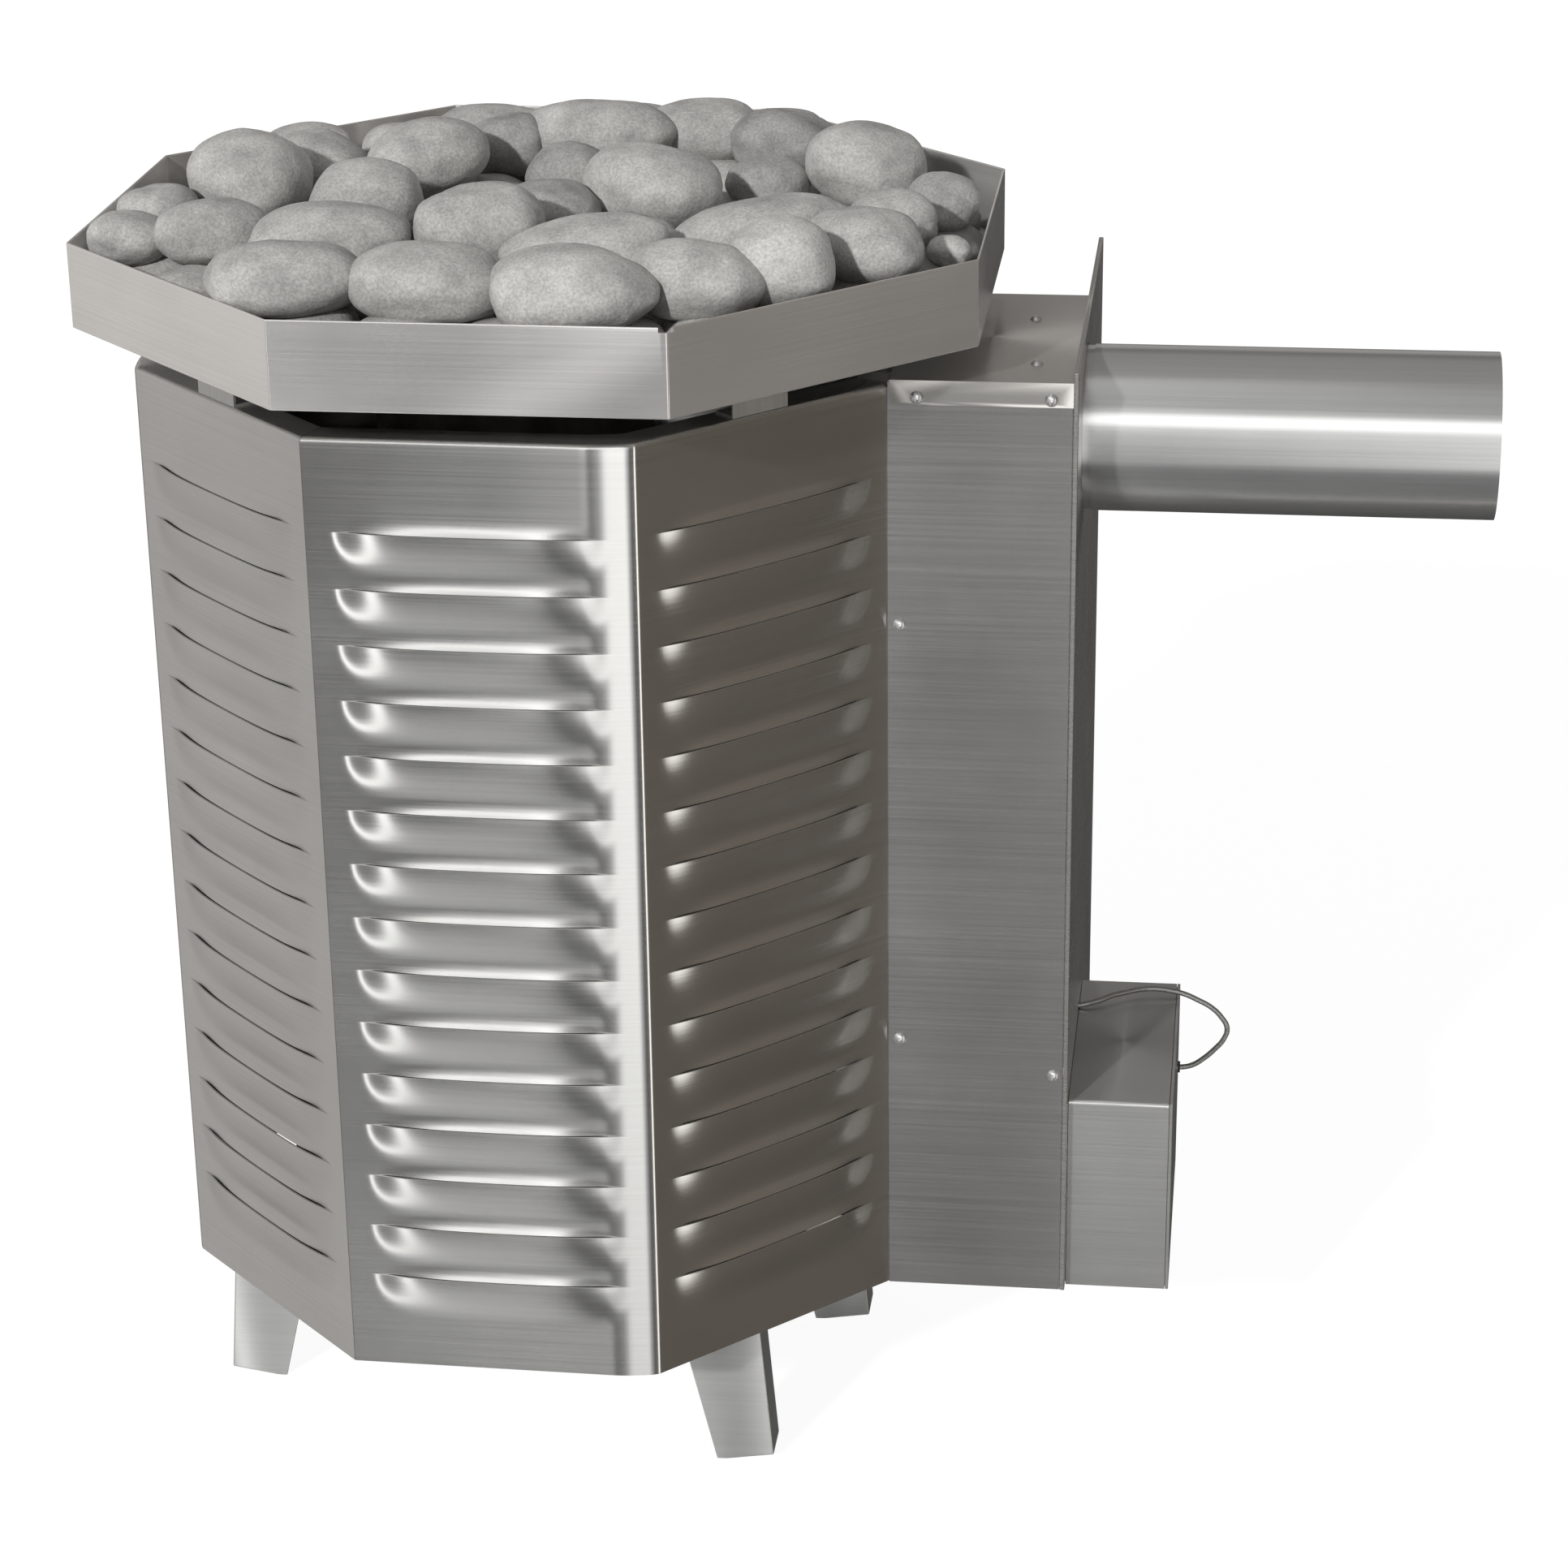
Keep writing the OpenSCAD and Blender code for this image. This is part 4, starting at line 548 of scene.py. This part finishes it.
def add_stone(made, layer, centre, half, turn, lean, seed, tone, level):
    """One rounded stone inside the given half sizes, turned in plan and leaning along its length. Its lumps
    are given by how close they lie and how high they are, for a stone of radius one."""
    start = len(made.verts)
    bmesh.ops.create_icosphere(made, subdivisions=level, radius=1)
    made.verts.ensure_lookup_table()
    own = made.verts[start:]
    drift = Vector((seed * 3.7, seed * 1.9, seed * 5.3))
    for vert in own:
        way = vert.co.normalized()
        squared = sum(abs(part) ** stone_square for part in way) ** (-1 / stone_square)
        lumps = sum(high * noise.noise(way * often + drift) for often, high in stone_lumps)
        vert.co = way * squared * (1 + lumps)
        vert[layer] = tone
    for axis in range(3):
        low, high = min(v.co[axis] for v in own), max(v.co[axis] for v in own)
        for vert in own:
            vert.co[axis] = ((vert.co[axis] - low) / (high - low) * 2 - 1) * half[axis]
    turned = Matrix.Rotation(math.radians(turn), 4, "Z") @ Matrix.Rotation(math.radians(lean), 4, "Y")
    bmesh.ops.transform(made, matrix=Matrix.Translation(centre) @ turned, verts=own)


def stone_pile(name, node, stones, level=5):
    """Stones in one mesh. Each has its place as a share of the tray's half width, and its middle's height."""
    made = bmesh.new()
    layer = made.verts.layers.float.new("tone")
    for seed, (x, y, half, turn, lean, middle, tone) in enumerate(stones):
        centre = Vector((tray_x + x * tray_a, y * tray_a, middle))
        add_stone(made, layer, centre, half, turn, lean, seed + len(node), tone, level)
    piece = finish_piece(name, made, river_stone, sharp=math.pi)
    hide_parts(node)


# Top stones: shares of the tray's half width for the place and the half length, width and height, then turn
# and lean in degrees, how far the stone is raised in millimetres, and its tone
# The darkest tones, 0.16 to 0.22, go to small stones tucked between larger ones. Their darkness is partly the
# stones' own grey and partly painted shade from the stones around them.
front_shares = [
    (-0.42, -0.78, 0.165, 0.125, 0.085, -4, 0, 0, 0.3), (-0.12, -0.79, 0.16, 0.12, 0.085, 0, 0, 0, 0.34),
    (0.2, -0.85, 0.165, 0.115, 0.09, 0, 0, 0, 0.36), (0.44, -0.73, 0.135, 0.11, 0.085, 0, 0, 0, 0.34),
    (0.6, -0.63, 0.11, 0.11, 0.1, 0, 0, 0, 0.42), (0.76, -0.44, 0.125, 0.1, 0.085, -25, 0, 0, 0.3),
    (-0.08, -0.41, 0.135, 0.12, 0.1, 15, 0, 0, 0.33), (0.17, -0.52, 0.17, 0.12, 0.08, 14, -6, 0, 0.36),
    (-0.4, -0.47, 0.165, 0.12, 0.085, 6, 0, 0, 0.33), (-0.69, -0.36, 0.12, 0.1, 0.075, 20, 0, 0, 0.3),
    (-0.87, -0.38, 0.085, 0.075, 0.06, 0, 0, 0, 0.33)]
middle_shares = [
    (0.52, -0.33, 0.2, 0.11, 0.08, 18, -8, 0, 0.34), (-0.69, 0.03, 0.135, 0.125, 0.105, 60, 0, 0, 0.36),
    (0.24, 0, 0.15, 0.125, 0.1, -10, 0, 0, 0.36), (-0.4, -0.1, 0.12, 0.115, 0.09, 10, 0, 0, 0.34),
    (0.02, -0.12, 0.11, 0.1, 0.07, 0, 0, 0, 0.2), (-0.87, -0.14, 0.085, 0.09, 0.06, 0, 0, 0, 0.3),
    (0.8, -0.19, 0.09, 0.08, 0.075, 0, 0, 0, 0.3), (0.89, 0.02, 0.08, 0.09, 0.07, 0, 0, 0, 0.28),
    (0.47, 0.24, 0.09, 0.09, 0.06, 0, 0, 0, 0.24), (0.23, -0.26, 0.09, 0.06, 0.045, 0, 0, 3, 0.2),
    (0.93, -0.27, 0.045, 0.045, 0.035, 0, 0, 0, 0.5)]
back_shares = [
    (-0.33, 0.26, 0.14, 0.115, 0.095, 35, -8, 0, 0.36), (0.02, 0.56, 0.18, 0.13, 0.09, 0, 0, 0, 0.33),
    (0.7, 0.27, 0.13, 0.13, 0.095, -30, 8, 0, 0.33), (-0.6, 0.28, 0.11, 0.11, 0.075, 0, 0, 0, 0.34),
    (0.48, 0.5, 0.12, 0.12, 0.085, 0, 0, 0, 0.16), (0, 0.26, 0.09, 0.1, 0.07, 0, 0, 0, 0.22),
    (0.27, 0.64, 0.14, 0.11, 0.08, 0, 0, 0, 0.3), (-0.18, 0.5, 0.09, 0.09, 0.075, 0, 0, 0, 0.18),
    (-0.67, 0.5, 0.1, 0.09, 0.06, 0, 0, 0, 0.33), (-0.46, 0.56, 0.09, 0.08, 0.055, 0, 0, 0, 0.36),
    (0.7, 0.52, 0.09, 0.09, 0.055, 0, 0, 0, 0.26), (-0.28, 0.81, 0.13, 0.1, 0.05, 0, 0, 0, 0.3),
    (0.06, 0.84, 0.13, 0.1, 0.05, 0, 0, 0, 0.3), (0.4, 0.82, 0.12, 0.1, 0.05, 0, 0, 0, 0.28)]


stone_longer, stone_wider = 1.09, 1.07


def on_bed(rows):
    """Turns the shares into stones that are sunk a little into the bed."""
    placed = []
    for x, y, long, wide, high, turn, lean, raised, tone in rows:
        half = (stone_longer * long * tray_a, stone_wider * wide * tray_a, high * tray_a)
        placed.append((x, y, half, turn, lean, bed_top - sink + half[2] + raised / 1000, tone))
    return placed


stone_pile("front_stones", "stones_front", on_bed(front_shares))
stone_pile("middle_stones", "stones_middle", on_bed(middle_shares))
stone_pile("back_stones", "stones_back", on_bed(back_shares))
bed_laps, bed_half_t, bed_gap = 5, 0.017, 0.0004
bed_half_w = (tray_a - bed_gap) / (2 * bed_laps - 1) - bed_gap
bed_half = (bed_half_w, bed_half_w, bed_half_t)
# The bed stones' tones run darker than most top stones' tones, which paints the shade in the gaps between the
# top stones.
bed_tone, bed_tone_step, bed_tones = 0.18, 0.05, 4
bed = []
for lap in range(bed_laps):
    count = max(1, math.floor(2 * math.pi * lap))
    along = lap * (2 * bed_half_w + bed_gap) / tray_a
    for i in range(count):
        turn = 2 * math.pi * i / count
        bed.append((along * math.cos(turn), along * math.sin(turn), bed_half, 0, 0, grate_top + bed_half_t,
                    bed_tone + bed_tone_step * (i % bed_tones)))
stone_pile("bed_stones", "stones_bed", bed, level=4)

# Neck: a folded cover, a front and back panel and a floor, screwed to a frame between the jacket and the wall
neck_steel = brushed_steel("neck_steel", (0.56, 0.55, 0.535), (4, 4, 900))
# The cover's steel is a lighter, warmer copy of the neck's steel with less metal in it: the lighter tone
# paints the sunlight on the neck's top.
lit_neck_cover_steel = brushed_steel("lit_neck_cover_steel", (0.62, 0.6, 0.57), (4, 900, 4), roughness=0.24, metal=0.85)
eased("folded_neck_cover", "neck_cover", lit_neck_cover_steel, fold=0.0018)
eased("folded_neck_front", "neck_front", neck_steel, fold=0.0018)
eased("folded_neck_back", "neck_back", neck_steel, fold=0.0018)
eased("folded_neck_floor", "neck_floor", neck_steel, fold=0.0018)
eased("domed_neck_screws", "neck_screws", bolt_steel, fold=0, ease=0.0004)

# Wall plate and vent pipe: a flat flange plate, and a thin round flue that passes through it
plate_steel = brushed_steel("plate_steel", (0.55, 0.54, 0.52), (4, 4, 900), roughness=0.27)
eased("flange_plate", "wall_plate", plate_steel, fold=0, ease=0.0004)
pipe_steel = brushed_steel("pipe_steel", (0.56, 0.56, 0.555), (3, 700, 700), roughness=0.22, grain=0,
                           mottle=0.07, metal=0.85)
dress(pipe_steel, "vent_pipe")

# Control box: a body and end plate on the wall plate, and a folded cover that draws off forwards
box_steel = brushed_steel("box_steel", (0.56, 0.555, 0.54), (4, 4, 900), metal=0.85)
eased("folded_box_body", "box_body", box_steel, fold=0.0015)
eased("box_end", "box_end_plate", box_steel, fold=0.0015)
eased("folded_box_cover", "box_cover", box_steel, fold=0.003, body="cover")


# Sensor lead: a thin capillary in a woven steel sleeve. It comes out of the wall plate over the box, loops
# down past its end and goes in through the end plate.
def plain_finish(name, colour, metallic, roughness, fine, mottle=0.1, depth=0.0002, strength=0.3):
    """Cast, moulded or drawn stuff: an even colour with fine grain, and roughness that varies with it."""
    finish = bpy.data.materials.new(name)
    finish.use_nodes = True
    tree = finish.node_tree
    shader = tree.nodes["Principled BSDF"]
    shader.inputs["Metallic"].default_value = metallic
    place = tree.nodes.new("ShaderNodeTexCoord")
    grain = tree.nodes.new("ShaderNodeTexNoise")
    grain.inputs["Scale"].default_value = fine
    grain.inputs["Detail"].default_value = 4
    tree.links.new(place.outputs["Object"], grain.inputs["Vector"])
    tone = tree.nodes.new("ShaderNodeMapRange")
    tone.inputs["From Min"].default_value = 0.3
    tone.inputs["From Max"].default_value = 0.7
    tone.inputs["To Min"].default_value = 1 - mottle
    tone.inputs["To Max"].default_value = 1 + mottle
    tree.links.new(grain.outputs["Fac"], tone.inputs["Value"])
    tint = tree.nodes.new("ShaderNodeVectorMath")
    tint.operation = "SCALE"
    tint.inputs[0].default_value = colour
    tree.links.new(tone.outputs[0], tint.inputs["Scale"])
    tree.links.new(tint.outputs[0], shader.inputs["Base Color"])
    dull = tree.nodes.new("ShaderNodeMapRange")
    dull.inputs["To Min"].default_value = roughness - 0.08
    dull.inputs["To Max"].default_value = roughness + 0.08
    tree.links.new(grain.outputs["Fac"], dull.inputs["Value"])
    tree.links.new(dull.outputs[0], shader.inputs["Roughness"])
    bumps = tree.nodes.new("ShaderNodeBump")
    bumps.inputs["Strength"].default_value = strength
    bumps.inputs["Distance"].default_value = depth
    tree.links.new(grain.outputs["Fac"], bumps.inputs["Height"])
    tree.links.new(bumps.outputs[0], shader.inputs["Normal"])
    return finish


lead_steel = plain_finish("lead_steel", (0.34, 0.34, 0.33), 0.9, 0.4, 900, 0.25)
lead_route = [
    (-0.018, 0.046, 0.248), (-0.009, 0.046, 0.248), (0, 0.046, 0.248), (0.006, 0.047, 0.249),
    (0.014, 0.051, 0.25), (0.022, 0.057, 0.251), (0.031, 0.063, 0.251), (0.04, 0.068, 0.251),
    (0.05, 0.07, 0.251), (0.06, 0.07, 0.25), (0.069, 0.07, 0.248), (0.078, 0.07, 0.244),
    (0.087, 0.07, 0.239), (0.094, 0.07, 0.232), (0.098, 0.07, 0.224), (0.096, 0.07, 0.216),
    (0.09, 0.07, 0.208), (0.083, 0.07, 0.201), (0.076, 0.07, 0.196), (0.069, 0.07, 0.194),
    (0.064, 0.07, 0.194)]
plate_out_x = 0.175
line = bpy.data.curves.new("sensor_lead", "CURVE")
line.dimensions = "3D"
line.bevel_depth = 0.00175
line.bevel_resolution = 4
line.resolution_u = 6
strand = line.splines.new("BEZIER")
strand.bezier_points.add(len(lead_route) - 1)
for point, (x, y, z) in zip(strand.bezier_points, lead_route):
    point.co = (x + plate_out_x, y, z)
    point.handle_left_type = point.handle_right_type = "AUTO"
lead = bpy.data.objects.new("capillary_lead", line)
bpy.context.scene.collection.objects.link(lead)
lead.data.materials.append(lead_steel)
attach(lead, "stove")
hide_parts("sensor_lead")
rubber = plain_finish("grommet_rubber", (0.03, 0.03, 0.03), 0, 0.6, 700, 0.2)
dress(rubber, "lead_grommets")
copper = plain_finish("drawn_copper", (0.62, 0.36, 0.2), 1, 0.35, 120, 0.15)
dress(copper, "sensor_bulb", "thermocouple", "thermocouple_lead")

# Firebox, burner and pilot: heat-darkened steel behind an aluminised shield, black gas pipe, brass jets
scaled_steel = plain_finish("scaled_steel", (0.13, 0.115, 0.105), 0.8, 0.55, 60, 0.3)
dress(scaled_steel, "firebox", "firebox_feet", "flue_hood", "baffles", "burner_rack", "burner_tubes",
      "pilot_bracket")
shield_sheet = plain_finish("shield_sheet", (0.62, 0.62, 0.61), 1, 0.42, 90, 0.1)
dress(shield_sheet, "heat_shield", "pilot_tube")
black_pipe = plain_finish("black_pipe", (0.07, 0.07, 0.07), 0.6, 0.5, 300, 0.25, 0.0004)
dress(black_pipe, "gas_manifold", "feed_pipe", "inlet_nipple")
turned_brass = plain_finish("turned_brass", (0.62, 0.46, 0.18), 1, 0.3, 500, 0.08)
dress(turned_brass, "gas_orifices", "pilot_burner", "knob_detent_ring")
glazed_white = plain_finish("glazed_white", (0.78, 0.76, 0.7), 0, 0.3, 200, 0.05, 0.0001)
dress(glazed_white, "spark_electrode")
red_silicone = plain_finish("red_silicone", (0.4, 0.05, 0.04), 0, 0.5, 400, 0.1)
dress(red_silicone, "ignition_wire")

# Controls inside the box: a die-cast valve with a black knob, a red igniter button and the limit switch
cast_valve = plain_finish("cast_valve", (0.45, 0.445, 0.43), 1, 0.5, 700, 0.12, 0.0003)
dress(cast_valve, "gas_valve")
black_moulding = plain_finish("black_moulding", (0.03, 0.03, 0.032), 0, 0.45, 900, 0.15)
dress(black_moulding, "gas_knob", "igniter_body", "limit_switch")
red_moulding = plain_finish("red_moulding", (0.45, 0.03, 0.025), 0, 0.25, 500, 0.06)
dress(red_moulding, "igniter_button")
